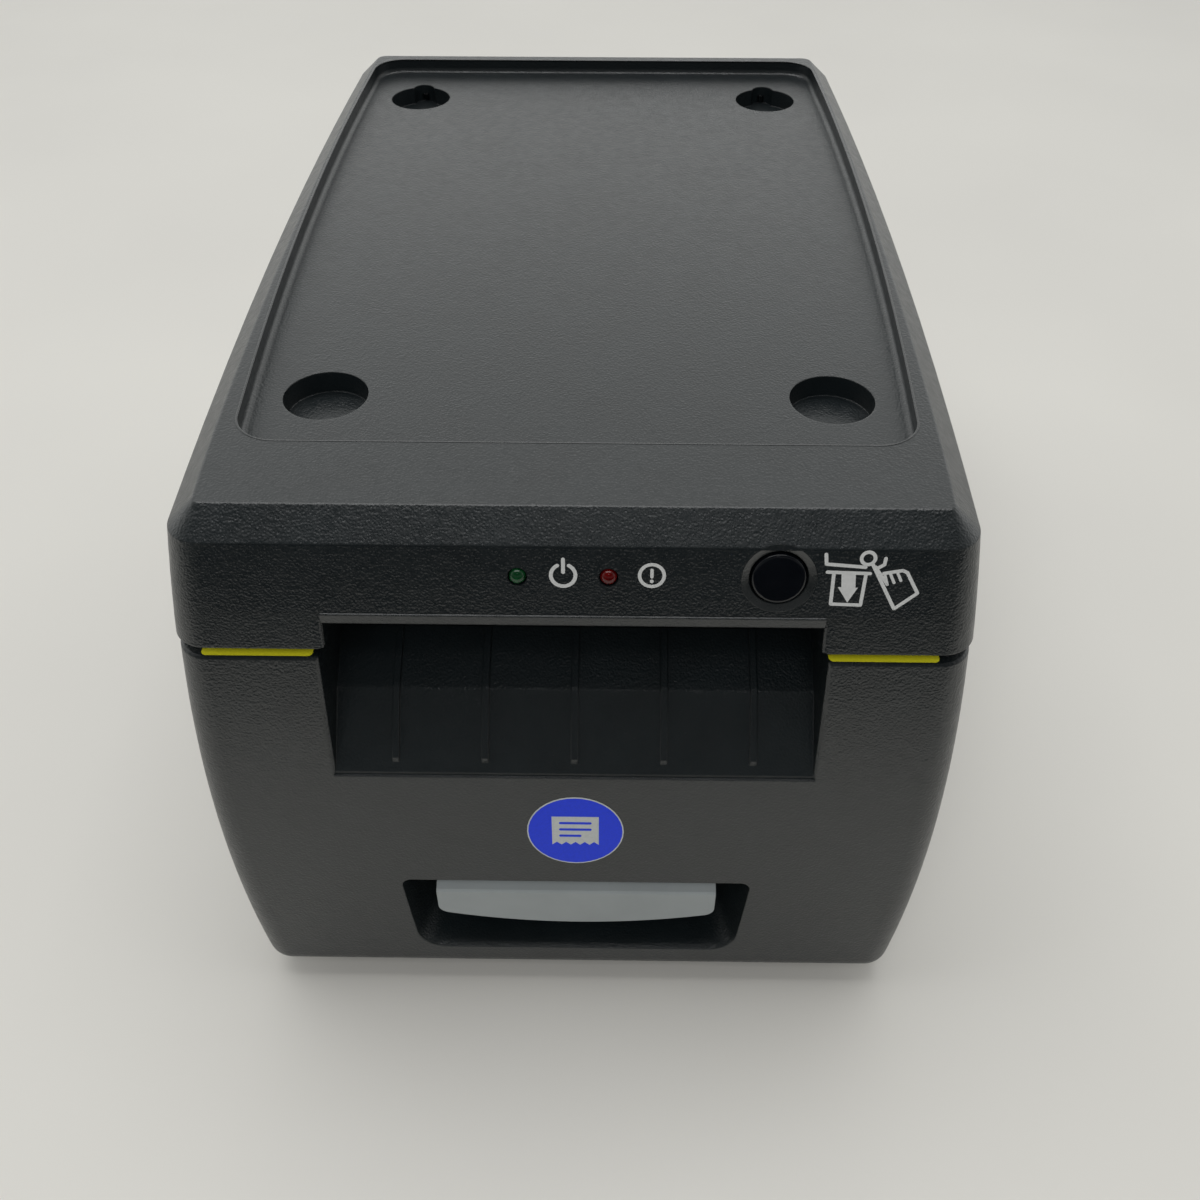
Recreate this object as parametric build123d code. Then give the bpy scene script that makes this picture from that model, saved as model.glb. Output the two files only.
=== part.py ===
"""Front-loading receipt printer with a scanner tray on top, as separate pieces.

Frame: +Z up, the front faces -Y, +X is right as seen from the front, and the
origin is on the ground under the centre of the body. Millimetres.
"""
from build123d import *
from math import acos, asin, atan2, cos, degrees, pi, radians, sin, sqrt, tan
import os

# ---------------------------------------------------------------- body form
body_width = 150.0            # widest place of the barrel sides
body_depth = 235.0            # lower body; the cover stands proud of it at the front
body_height = 121.0           # rim of the tray above the ground
ground_clearance = 5.4        # underside of the body above the ground
wall = 2.5                    # moulded shells
front_arc_radius = 400.0      # front face in side view
front_arc_height = 12.0       # height of its foremost point
side_arc_radius = 440.0       # barrel sides in front view
side_arc_height = 58.5        # height of the widest place
plan_bow_radius = 2120.0      # bow of the sides in plan
front_corner_radius = 6.6
rear_corner_radius = 7.5
top_bevel = 4.4               # flat bevel round the rim of the cover
top_bevel_rounding = 0.5
bottom_edge_radius = 4.0
front = -body_depth / 2       # foremost point of the lower body
rear_y = body_depth / 2

# ---------------------------------------------------------------- split lines
cover_bottom = 96.3           # lower edge of the top cover
lower_top = 94.3              # upper edge of the drawer front and the housing
overhang = 0.5                # the cover stands this much proud of the lower body
drawer_seam_y = front + 22.1  # rear edge of the drawer front's wrapped sides
seam_gap = 0.6
seam_bevel = 0.4              # small bevel of the edges along the seam
skirt_depth = 3.0             # cover skirt that stands inside the housing
skirt_thickness = 1.5
skirt_clearance = 0.2

# ---------------------------------------------------------------- tray on top
tray_depth = 3.5
tray_half_width = 65.6
tray_widest_y = 23.4
tray_bow_radius = 1414.0
tray_front_y = front + 37.1
tray_rear_y = rear_y - 7.5
tray_corner_radius = 8.0
tray_floor_fillet = 1.2
cup_radius = 8.2
cup_depth = 4.5
cup_x = 48.8
cup_front_y = front + 56.6
cup_rear_y = rear_y - 27.9
cup_notch_radius = 3.0
cup_notch_offset = 7.2
tray_screw_offset = 3.6       # in front of the left cup's centre
tray_screw_radius = 1.0
tray_screw_head_radius = 1.9
tray_screw_sink = 1.2

# ---------------------------------------------------------------- control panel
panel_row_height = 111.2
power_led_x = -9.3
error_led_x = 6.2
led_radius = 1.5
led_clearance = 0.15
led_stand_out = 0.5
button_x = 35.0
button_radius = 4.7
button_clearance = 0.25
button_flange_radius = 6.4
button_flange_thickness = 1.2
button_stand_out = 0.2
button_rounding = 0.6
button_travel = 0.8
plunger_radius = 1.5
button_dish_radius = 6.3
button_dish_depth = 1.3
board_depth = 9.0             # front of the control board behind the outer face
board_thickness = 1.6
board_half_length = 39.0
board_x = 13.0
board_low = -4.6              # lower and upper edge, measured up the face from the row
board_high = 6.4

# ---------------------------------------------------------------- paper exit
notch_half_width = 43.8
notch_top = 101.0
notch_chamfer = 1.3
throat_rear_y = front + 24.0
throat_wall = 1.8
chute_half_width = 45.2
chute_foot_height = 67.2
chute_bevel = 0.7             # along the upright edges of the chute
lip_y = front + 15.4
lip_height = 79.4
lip_radius = 1.6
ledge_rear_y = front + 26.5
ledge_rise = 28.0             # degrees
chute_wall = 2.2
rib_count = 5
rib_pitch = 16.9
rib_width = 1.3
rib_height = 0.8

# ---------------------------------------------------------------- pull pocket and lever
pocket_top = 37.3
pocket_bottom = 12.9
pocket_half_top = 36.4
pocket_half_bottom = 34.0
pocket_rear_y = front + 14.5
pocket_draft = 4.5            # how much narrower each side is at the back
pocket_wall = 2.0
lever_half_width = 28.9
lever_thickness = 2.2
lever_tip_height = 22.6
lever_corner_height = 26.4
lever_pivot_y = front + 9.5
lever_pivot_height = 41.6
lever_hub_radius = 4.2
latch_shaft_radius = 2.0
latch_shaft_half = 48.6
latch_ear_x = 33.5
latch_ear_thickness = 3.0
hook_x = 46.8
hook_thickness = 2.4
hook_reach = 23.5
hook_nose_height = 2.2
strike_clearance = 0.4
shaft_clearance = 0.05

# ---------------------------------------------------------------- paper path and roll
roll_diameter = 80.0
roll_width = 80.0
roll_y = front + 81.5
roll_height = 52.6
bucket_clearance = 1.0
bucket_wall = 2.0
bucket_front_y = front + 27.0
bucket_rear_y = roll_y + 44.0
bucket_foot = 12.0
bucket_side_top = 90.9
bucket_rear_top = 74.0
cradle_front_top = 71.0
hub_window_radius = 14.0
hub_radius = 6.0
hub_spoke_width = 4.0

# ---------------------------------------------------------------- platen and gears
platen_y = front + 41.5
platen_height = 85.0
platen_radius = 7.0
platen_half_length = 40.3
platen_shaft_radius = 2.5
bush_radius = 4.0
bush_flange_radius = 4.8
gear_module = 0.6
platen_teeth = 26
idler_teeth = 36
motor_teeth = 14
gear_inner_x = 45.2
gear_width = 3.2
gear_backlash = 0.05
idler_direction = -20.0       # degrees from +Y towards +Z, seen from the platen
motor_direction = -26.0       # the same, seen from the idler
idler_stud_radius = 2.0
motor_shaft_radius = 1.5
feed_motor_radius = 17.0
motor_side_gap = 5.0          # between the motor and the side wall
motor_ear_reach = 21.0

# ---------------------------------------------------------------- chassis
plate_inner_x = 50.0
plate_thickness = 1.5
plate_front_y = front + 25.5
plate_rear_y = rear_y - 39.5
plate_top = 110.0
rail_bottom = 15.8
rail_height = 9.4
rail_wall = 1.2
rail_clearance = 0.3
runner_rear_y = plate_rear_y - 3.0

# ---------------------------------------------------------------- print head and cutter
head_gap = 0.3                # paper space between the platen and the head
head_pivot_y = front + 63.5
head_pivot_height = 98.4
head_pin_radius = 1.5
head_plate_bottom = 93.3
head_plate_thickness = 3.0
head_half_width = 40.5
strap_bottom = 108.2
strap_y = (platen_y + 1.0, platen_y + 9.0)
bridge_rear_y = head_pivot_y + 5.5
bridge_bottom = 94.4
spring_x = 18.0
spring_radius = 3.0
blade_thickness = 1.0
blade_half_width = 41.2
blade_shear_gap = 0.1
blade_rest_height = 92.7
blade_top = 109.4
blade_slant = 1.2
blade_travel = 4.0
fixed_blade_y = (front + 29.5, front + 33.3)
fixed_blade_top = 91.4
fixed_blade_thickness = 2.0
cutter_frame_y = (front + 24.9, front + 32.9)
cutter_module = 0.5
cutter_teeth = 12
cutter_pinion_x = -35.0
cutter_pinion_height = 103.2

# ---------------------------------------------------------------- rear electronics
main_board_height = 16.4
main_board_x = (-42.0, 42.0)
main_board_y = (rear_y - 89.5, rear_y - 9.5)
bay_x = (-38.0, 48.0)
bay_z = (13.0, 50.0)
bay_depth = 3.5
usb_x = -24.0
dc_x = 4.0
switch_x = 30.0
switch_z = 32.0
rocker_swing = 16.0           # degrees from one side to the other

# ---------------------------------------------------------------- fasteners and feet
foot_radius = 7.0
foot_x = 54.0
foot_y = (front + 35.5, rear_y - 25.5)
foot_seat = 1.0
post_radius = 4.2
post_x = 61.0
post_front_y = front + 43.5
post_rear_y = rear_y - 17.5
screw_radius = 1.5
screw_head_radius = 2.8
screw_head_height = 1.8

# ---------------------------------------------------------------- derived
front_arc_y = front - overhang + front_arc_radius
tray_floor = body_height - tray_depth
floor_top = ground_clearance + wall
paper_height = platen_height + platen_radius
bucket_inner_x = roll_width / 2 + bucket_clearance + 0.5
bucket_outer_x = bucket_inner_x + bucket_wall
blade_rear_y = fixed_blade_y[0] - blade_shear_gap
blade_front_y = blade_rear_y - blade_thickness
gear_outer_x = gear_inner_x + gear_width
plate_outer_x = plate_inner_x + plate_thickness
feed_motor_length = body_width / 2 - wall - plate_outer_x - motor_side_gap
bay_y = rear_y - overhang - bay_depth


# ================================================================ helpers
def block(x, y, z):
    """Box between the low and high values of each axis."""
    size = (x[1] - x[0], y[1] - y[0], z[1] - z[0])
    centre = ((x[0] + x[1]) / 2, (y[0] + y[1]) / 2, (z[0] + z[1]) / 2)
    return Pos(*centre) * Box(*size)


def rod(axis, radius, span, at):
    """Cylinder along an axis: span is its two ends, at the other two coordinates."""
    length = span[1] - span[0]
    middle = (span[0] + span[1]) / 2
    solid = Cylinder(radius, length)
    if axis == "X":
        return Pos(middle, at[0], at[1]) * Rot(0, 90, 0) * solid
    if axis == "Y":
        return Pos(at[0], middle, at[1]) * Rot(90, 0, 0) * solid
    return Pos(at[0], at[1], middle) * solid


def prism_x(points, x):
    """Polygon in the YZ plane, extruded between two values of X."""
    plane = Plane(origin=(x[0], 0, 0), x_dir=(0, 1, 0), z_dir=(1, 0, 0))
    return extrude(plane * make_face(Polyline(*points, close=True)), amount=x[1] - x[0])


def prism_y(points, y):
    """Polygon in the XZ plane, extruded between two values of Y."""
    plane = Plane(origin=(0, y[1], 0), x_dir=(1, 0, 0), z_dir=(0, -1, 0))
    return extrude(plane * make_face(Polyline(*points, close=True)), amount=y[1] - y[0])


def both_sides(shape):
    """The shape and its mirror image across the middle plane."""
    return [shape, mirror(shape, about=Plane.YZ)]


def fuse(*shapes):
    """One solid from several that touch or overlap."""
    whole = shapes[0]
    for shape in shapes[1:]:
        whole = whole + shape
    return whole


def front_y(z, inset=0.0):
    """Place of the front face at a height, on a surface set in by inset."""
    radius = front_arc_radius - inset
    return front_arc_y - sqrt(radius ** 2 - (z - front_arc_height) ** 2)


def front_lean(z):
    """Degrees by which the front face leans back at a height."""
    return degrees(asin((z - front_arc_height) / front_arc_radius))


def face_plane(x, z):
    """Plane on the cover's front face: local x is right, y is up the face, z is outward."""
    lean = radians(front_lean(z))
    return Plane(origin=(x, front_y(z), z), x_dir=(1, 0, 0), z_dir=(0, -cos(lean), sin(lean)))


def face_rod(x, radius, depth):
    """Cylinder along the panel's normal: depth is its two ends from the outer face."""
    seat = face_plane(x, panel_row_height) * Pos(0, 0, (depth[0] + depth[1]) / 2)
    return seat * Cylinder(radius, depth[1] - depth[0])


# ================================================================ outer form
def upright(shape, rise):
    """Edges of a shape that climb by more than rise."""
    return ShapeList(e for e in shape.edges() if abs((e @ 1).Z - (e @ 0).Z) > rise)


def level(shape, z):
    """Edges of a shape that lie at one height."""
    return ShapeList(e for e in shape.edges() if all(abs((e @ t).Z - z) < 0.01 for t in (0, 0.5, 1)))


def side_sweep(inset):
    """Right flank of the body: an upright arc swept along the bow of the sides."""
    radius = side_arc_radius - inset
    centre_x = body_width / 2 + overhang - side_arc_radius
    low, high = -10.0, body_height + 10.0
    inner_x = -body_width

    def arc_x(z):
        return centre_x + sqrt(radius ** 2 - (z - side_arc_height) ** 2)

    arc = ThreePointArc((arc_x(low), low), (arc_x(side_arc_height), side_arc_height), (arc_x(high), high))
    outline = arc + Polyline((arc_x(high), high), (inner_x, high), (inner_x, low), (arc_x(low), low))
    face = Plane.XZ * make_face(outline)
    axis = Axis((body_width / 2 + overhang - plan_bow_radius, 0, 0), (0, 0, 1))
    half_turn = degrees(asin((body_depth / 2 + 8) / (plan_bow_radius - body_width)))
    return revolve(face, axis, revolution_arc=2 * half_turn).rotate(axis, -half_turn)


def body_form(inset):
    """The outer form set in on every side; at the overhang it is the lower body's own."""
    low, high = ground_clearance + inset - overhang, body_height - inset
    rear = rear_y - inset
    middle = (low + high) / 2
    foot, top = (front_y(low, inset), low), (front_y(high, inset), high)
    arc = ThreePointArc(foot, (front_y(middle, inset), middle), top)
    back = Polyline(top, (rear, high), (rear, low), foot)
    profile = extrude(Plane.YZ * make_face(arc + back), amount=body_width, both=True)
    right = side_sweep(inset)
    form = profile & right & mirror(right, about=Plane.YZ)
    form = form.solids()[0]
    corners = upright(form, body_height / 2)
    corner_radius = front_corner_radius - min(inset, 5.0)
    form = fillet(corners.filter_by(lambda e: (e @ 0.5).Y < 0), corner_radius)
    corners = upright(form, body_height / 2).filter_by(lambda e: (e @ 0.5).Y > rear - 0.1)
    sharp = ShapeList(e for e in corners if abs((e @ 0.5).X) > body_width * 0.4)
    form = fillet(sharp, rear_corner_radius - min(inset, 5.0))
    form = chamfer(level(form, high), top_bevel if inset == 0 else 0.45 * corner_radius)
    if inset == 0:
        form = fillet(level(form, high), top_bevel_rounding)
    return fillet(level(form, low), max(bottom_edge_radius - inset, 0.8))


def cut_band(shape, y, z):
    """Part of a shape between two depths and two heights."""
    return shape & block((-body_width, body_width), y, z)


def outline_at(form, z):
    """Plan outline of a form at a height, as a face."""
    return section(form, section_by=Plane.XY.offset(z)).faces()[0]


def cover_form(outer):
    """Outer form of the top cover, its lower edge bevelled."""
    edge = cover_bottom + seam_bevel
    bevel = loft([outline_at(body_form(seam_bevel), cover_bottom), outline_at(outer, edge)])
    return cut_band(outer, (-body_depth, body_depth), (edge, body_height + 1)) + bevel


def lower_form(outer):
    """Outer form of the lower body, its upper edge bevelled."""
    edge = lower_top - seam_bevel
    bevel = loft([outline_at(outer, edge), outline_at(body_form(overhang + seam_bevel), lower_top)])
    return cut_band(outer, (-body_depth, body_depth), (0, edge)) + bevel


# ================================================================ top cover
def tray_outline(grow=0.0):
    """Plan of the tray recess, grown on every side, in the XY plane."""
    radius = tray_bow_radius + grow
    centre_x = tray_half_width - tray_bow_radius
    low, high = tray_front_y - grow, tray_rear_y + grow

    def edge_x(y):
        return centre_x + sqrt(radius ** 2 - (y - tray_widest_y) ** 2)

    right = ThreePointArc((edge_x(low), low), (edge_x(tray_widest_y), tray_widest_y), (edge_x(high), high))
    rear = Line((edge_x(high), high), (-edge_x(high), high))
    left = ThreePointArc((-edge_x(high), high), (-edge_x(tray_widest_y), tray_widest_y), (-edge_x(low), low))
    front = Line((-edge_x(low), low), (edge_x(low), low))
    face = make_face(right + rear + left + front)
    return fillet(face.vertices(), tray_corner_radius + grow)


def cup_places():
    """Centres of the four foot cups."""
    return [(x, y) for x in (-cup_x, cup_x) for y in (cup_front_y, cup_rear_y)]


def notch_chamfer_tool():
    """Bevel round the paper notch, as a frustum that narrows inward."""
    plane = face_plane(0, notch_top)
    reach = notch_top - cover_bottom + 6

    def mouth(extra, height):
        half, top, foot = notch_half_width + extra, extra, -reach
        points = ((-half, foot), (half, foot), (half, top), (-half, top))
        return plane * Pos(0, 0, height) * make_face(Polyline(*points, close=True))

    return loft([mouth(0, -notch_chamfer), mouth(notch_chamfer + 1.0, 1.0)])


def panel_holes():
    """Holes and the button dish in the control panel."""
    holes = [face_rod(x, led_radius + led_clearance, (-wall - 1.5, 1)) for x in (power_led_x, error_led_x)]
    holes.append(face_rod(button_x, button_radius + button_clearance, (-wall - 1.5, 1)))
    cone = Cone(button_radius + button_clearance, button_dish_radius + 0.5, button_dish_depth + 0.5)
    holes.append(face_plane(button_x, panel_row_height) * Pos(0, 0, (0.5 - button_dish_depth) / 2) * cone)
    return holes


def top_cover(outer, inner):
    """Upper shell with the tray, foot cups, control panel and paper notch."""
    form = cover_form(outer)
    shell = form - inner
    pan = extrude(Pos(0, 0, tray_floor - wall) * tray_outline(wall), amount=wall + 1)
    shell = shell + (pan & form)
    for x, y in cup_places():
        shell = shell + rod("Z", cup_radius + 2.0, (tray_floor - cup_depth - 2.0, tray_floor), (x, y))
    throat_x = notch_half_width + throat_wall
    throat = block((-throat_x, throat_x), (-body_depth, throat_rear_y), (cover_bottom, notch_top + throat_wall))
    shell = shell + (throat & form)
    shell = shell + cover_posts(outer) + control_board_bosses() + cover_skirt()
    recess = extrude(Pos(0, 0, tray_floor) * tray_outline(), amount=tray_depth + 1)
    recess = fillet(level(recess, tray_floor), tray_floor_fillet)
    shell = shell - recess
    for x, y in cup_places():
        shell = shell - rod("Z", cup_radius, (tray_floor - cup_depth, body_height), (x, y))
        if y > 0:
            notch = rod("Z", cup_notch_radius, (tray_floor - cup_depth, body_height), (x, y + cup_notch_offset))
            shell = shell - notch
    slot = (-notch_half_width, notch_half_width)
    shell = shell - block(slot, (-body_depth, throat_rear_y + 1), (cover_bottom - 1, notch_top))
    shell = shell - notch_chamfer_tool()
    for hole in panel_holes():
        shell = shell - hole
    for x, y in post_places():
        shell = shell - rod("Z", screw_radius, (lower_top - 1, lower_top + 12), (x, y))
    screw = tray_screw_hole()
    return shell - screw


def tray_screw_place():
    """Centre of the small screw in the floor of the front left cup."""
    return (-cup_x, cup_front_y - tray_screw_offset)


def tray_screw_hole():
    """Counterbored hole for the small screw in the floor of the front left cup."""
    floor = tray_floor - cup_depth
    shank = rod("Z", tray_screw_radius, (floor - 3, floor), tray_screw_place())
    return shank + rod("Z", tray_screw_head_radius + 0.2, (floor - tray_screw_sink, floor), tray_screw_place())


def post_places():
    """Centres of the four posts that join the housing and the cover."""
    return [(x, y) for x in (-post_x, post_x) for y in (post_front_y, post_rear_y)]


def cover_posts(outer):
    """Bosses that hang from the cover and stand on the housing's posts."""
    posts = [rod("Z", post_radius, (lower_top, tray_floor - 1), place) for place in post_places()]
    return fuse(*posts) & outer


def cover_skirt():
    """Low rim inside the cover's side and rear walls that stands inside the housing."""
    start = overhang + wall + skirt_clearance
    core = body_form(start + skirt_thickness)
    band = (drawer_seam_y + 3, body_depth)
    rim = cut_band(body_form(start) - core, band, (lower_top - skirt_depth, cover_bottom + wall))
    return rim + cut_band(body_form(wall - 0.5) - core, band, (cover_bottom, cover_bottom + wall))


def control_board_bosses():
    """Two pillars on the back of the control panel that carry the control board."""
    pillars = [face_rod(x, 2.4, (-board_depth, -1.0)) for x in control_screw_places()]
    return fuse(*pillars) - fuse(*[face_rod(x, 1.0, (-board_depth - 1, -wall)) for x in control_screw_places()])


def control_screw_places():
    """Places along the control row of the control board's two screws."""
    return (board_x - board_half_length + 4, board_x + board_half_length - 4)


# ================================================================ lower housing
def rear_bay():
    """Sunk bay for the sockets: the walls that it adds and the space that it takes."""
    around = block((bay_x[0] - wall, bay_x[1] + wall), (bay_y - wall, rear_y - overhang - 0.5),
                   (bay_z[0] - wall, bay_z[1] + wall))
    space = block(bay_x, (bay_y, rear_y + 1), bay_z)
    return around, space


def socket_cutouts():
    """Openings for the sockets and the switch in the floor of the rear bay."""
    span = (bay_y - wall - 1, bay_y + 1)
    board_top = main_board_height + board_thickness
    usb = block((usb_x - 6.2, usb_x + 6.2), span, (board_top, board_top + 11.2))
    jack = block((dc_x - 5.2, dc_x + 5.2), span, (board_top, board_top + 11.2))
    switch = block((switch_x - 6.6, switch_x + 6.6), span, (switch_z - 9.6, switch_z + 9.6))
    return [usb, jack, switch]


def base_housing(outer, inner):
    """Lower shell: floor, sides and rear wall, open at the front for the drawer."""
    band = (drawer_seam_y + seam_gap, body_depth)
    shell = cut_band(outer, band, (0, lower_top)) - inner
    around, space = rear_bay()
    shell = shell + around - space
    for cut in socket_cutouts():
        shell = shell - cut
    for place in post_places():
        shell = shell + rod("Z", post_radius, (floor_top - 0.5, lower_top), place)
    for x in (main_board_x[0] + 5, main_board_x[1] - 5):
        for y in (main_board_y[0] + 5, main_board_y[1] - 12):
            shell = shell + rod("Z", 3.0, (floor_top - 0.5, main_board_height), (x, y))
            shell = shell - rod("Z", 1.2, (floor_top + 1, main_board_height + 1), (x, y))
    for y in (roll_y - 24, roll_y + 16, roll_y + 56):
        shell = shell + block((-40, 40), (y - 0.8, y + 0.8), (floor_top - 0.5, floor_top + 1.2))
    for x in (-foot_x, foot_x):
        for y in foot_y:
            shell = shell - rod("Z", foot_radius, (0, ground_clearance + foot_seat), (x, y))
    for x, y in post_places():
        shell = shell - rod("Z", screw_radius, (0, lower_top + 1), (x, y))
        shell = shell - rod("Z", screw_head_radius, (0, ground_clearance + screw_head_height), (x, y))
    for x, y in plate_screw_places():
        shell = shell - rod("Z", 1.2, (floor_top - 1.6, floor_top + 1), (x, y))
    return shell


def rubber_feet():
    """Four round feet, seated in the underside of the housing."""
    feet = []
    for x in (-foot_x, foot_x):
        for y in foot_y:
            foot = rod("Z", foot_radius, (0, ground_clearance + foot_seat), (x, y))
            feet.append(chamfer(level(foot, 0), 0.8))
    return Compound(children=feet)


# ================================================================ chassis
def plate_screw_places():
    """Screws that hold the chassis plates' feet to the floor."""
    return [(side * (plate_outer_x + 6), y) for side in (-1, 1)
            for y in (plate_front_y + 52, plate_rear_y - 23)]


def chassis_plate(side):
    """Upright steel plate with a foot flange and a strike tab for the latch hook."""
    foot = floor_top + plate_thickness
    step_y = roll_y + 14.0
    outline = ((plate_front_y, foot), (plate_rear_y, foot), (plate_rear_y, 34), (step_y + 48, 46), (step_y, 74),
               (step_y - 12, plate_top), (plate_front_y, plate_top))
    plate = prism_x(outline, (plate_inner_x, plate_outer_x))
    window = ((step_y, 32), (plate_rear_y - 12, 32), (step_y + 44, 38), (step_y, 62))
    plate = plate - prism_x(window, (plate_inner_x - 1, plate_outer_x + 1))
    flange_y = (plate_front_y + 42, plate_rear_y - 12)
    plate = plate + block((plate_inner_x, plate_outer_x + 12), flange_y, (floor_top, foot))
    for x, y in plate_screw_places():
        plate = plate - rod("Z", 1.2, (0, foot + 1), (abs(x), y))
    tab_y = latch_tab_y()
    plate = plate + block((hook_x - 1.8, plate_inner_x), (tab_y - plate_thickness, tab_y), (latch_tab_z(), 50))
    for y, z in frame_screw_places():
        plate = plate - rod("X", 1.2, (0, body_width), (y, z))
    if side > 0:
        y, z = motor_place()
        plate = plate - rod("X", 5.0, (plate_inner_x - 1, plate_outer_x + 1), (y, z))
        y, z = idler_place()
        plate = plate - rod("X", idler_stud_radius, (plate_inner_x - 1, plate_outer_x + 1), (y, z))
        return plate
    return mirror(plate, about=Plane.YZ)


def latch_tab_y():
    """Rear face of the strike tab, just in front of the hook's nose."""
    return lever_pivot_y + hook_reach - 2.6 - strike_clearance


def latch_tab_z():
    """Lower edge of the strike tab, just above the hook's nose."""
    return lever_pivot_height + latch_shaft_radius + hook_nose_height - 2.0 + strike_clearance


def slide_rail(side):
    """Channel that guides a drawer runner, open towards the drawer."""
    low, high = rail_bottom, rail_bottom + rail_height
    inner = plate_inner_x - 5.0
    channel = block((inner, plate_inner_x), (plate_front_y, plate_rear_y), (low, high))
    hollow = block((inner - 1, plate_inner_x - rail_wall), (plate_front_y - 1, plate_rear_y + 1),
                   (low + rail_wall, high - rail_wall))
    channel = channel - hollow
    return channel if side > 0 else mirror(channel, about=Plane.YZ)


def frame_screw_places():
    """Screws that join the print frame to the chassis plates, as (y, z)."""
    return [(platen_y - 5.0, plate_top - 5.0), (head_pivot_y - 2.5, plate_top - 5.0)]


def print_frame():
    """Bent steel bridge between the chassis plates that carries the head and the cutter."""
    inner = plate_inner_x - plate_thickness
    cheek = block((inner, plate_inner_x), (plate_front_y, bridge_rear_y), (bridge_bottom, plate_top))
    cheek = cheek - rod("X", head_pin_radius, (0, body_width), (head_pivot_y, head_pivot_height))
    for y, z in frame_screw_places():
        cheek = cheek - rod("X", 1.2, (0, body_width), (y, z))
    beam = block((-inner, inner), (bridge_rear_y - plate_thickness, bridge_rear_y), (bridge_bottom, plate_top))
    for x in (-24, 0, 24):
        beam = beam - rod("Y", 2.6, (bridge_rear_y - 3, bridge_rear_y + 1), (x, plate_top - 6.5))
    strap = block((-inner, inner), strap_y, (strap_bottom, strap_bottom + plate_thickness))
    return fuse(beam, strap, *both_sides(cheek))


def screw(radius, length, head_radius, head_height):
    """Pan-head screw with a cross slot, its head's seat at z = 0 and its shank below."""
    head = Pos(0, 0, head_height / 2) * Cylinder(head_radius, head_height)
    head = chamfer(level(head, head_height), head_height * 0.4)
    slot = Pos(0, 0, head_height) * Box(head_radius * 1.3, 0.5, head_height * 0.8)
    slot = slot + Rot(0, 0, 90) * slot
    return head + Pos(0, 0, -length / 2) * Cylinder(radius, length) - slot


def cover_screws():
    """Four screws from below through the housing's posts into the cover."""
    seat = ground_clearance + screw_head_height
    one = screw(screw_radius, lower_top + 10 - seat, screw_head_radius - 0.2, screw_head_height - 0.3)
    return Compound(children=[Pos(x, y, seat) * Rot(180, 0, 0) * one for x, y in post_places()])


def chassis_screws():
    """Screws through the chassis feet into the floor."""
    one = screw(1.2, 2.9, 2.4, 1.4)
    seat = floor_top + plate_thickness
    return Compound(children=[Pos(x, y, seat) * one for x, y in plate_screw_places()])


def frame_screws():
    """Screws through the print frame's cheeks into the chassis plates."""
    one = screw(1.2, 2 * plate_thickness, 2.2, 1.2)
    inner = plate_inner_x - plate_thickness
    places = []
    for y, z in frame_screw_places():
        places.append(Pos(inner, y, z) * Rot(0, -90, 0) * one)
        places.append(Pos(-inner, y, z) * Rot(0, 90, 0) * one)
    return Compound(children=places)


# ================================================================ print head
def head_carrier():
    """Finned aluminium carrier that turns on the head pin."""
    top = head_plate_bottom + head_plate_thickness
    depth = (platen_y - 6.0, head_pivot_y + 2)
    plate = block((-head_half_width, head_half_width), depth, (head_plate_bottom, top))
    for y in (platen_y - 4.4, head_pivot_y - 8.0, head_pivot_y - 4.4):
        plate = plate + block((-26, head_half_width), (y - 0.7, y + 0.7), (top, top + 4.0))
    for x in (-spring_x, spring_x):
        plate = plate + rod("Z", spring_radius - 0.9, (top, top + 1.6), (x, sum(strap_y) / 2))
    for x in (-head_half_width + 2, head_half_width - 2):
        plate = plate + rod("X", 3.8, (x - 2, x + 2), (head_pivot_y, head_pivot_height))
    bore = head_pin_radius + shaft_clearance
    return plate - rod("X", bore, (-body_width, body_width), (head_pivot_y, head_pivot_height))


def thermal_head():
    """Ceramic strip with the raised heater line over the platen."""
    low = paper_height + head_gap
    strip = block((-head_half_width + 0.5, head_half_width - 0.5), (platen_y - 5.4, platen_y + 10.0),
                  (low + 0.2, head_plate_bottom))
    line = block((-36, 36), (platen_y - 0.7, platen_y + 0.7), (low, low + 0.2))
    return strip + line


def head_pivot_pin():
    """Pin across the print frame that the head carrier turns on."""
    return rod("X", head_pin_radius, (-plate_inner_x, plate_inner_x), (head_pivot_y, head_pivot_height))


def head_springs():
    """Two springs between the frame's strap and the head carrier, as plain sleeves."""
    low = head_plate_bottom + head_plate_thickness
    y = sum(strap_y) / 2
    springs = []
    for x in (-spring_x, spring_x):
        sleeve = rod("Z", spring_radius, (low, strap_bottom), (x, y))
        springs.append(sleeve - rod("Z", spring_radius - 0.8, (low - 1, strap_bottom + 1), (x, y)))
    return Compound(children=springs)


def paper_sensor():
    """Reflective sensor behind the print frame that looks down at the paper."""
    y = bridge_rear_y
    body = block((8, 18), (y, y + 5), (bridge_bottom - 1.2, bridge_bottom + 3.6))
    for x in (11, 15):
        body = body - block((x - 1.5, x + 1.5), (y + 1, y + 4), (bridge_bottom - 2.4, bridge_bottom - 0.2))
    return body


# ================================================================ cutter
def blade_slot_y():
    """Front and rear of the slot that the moving blade runs in."""
    return (blade_front_y - 0.15, blade_rear_y + 0.15)


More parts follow.
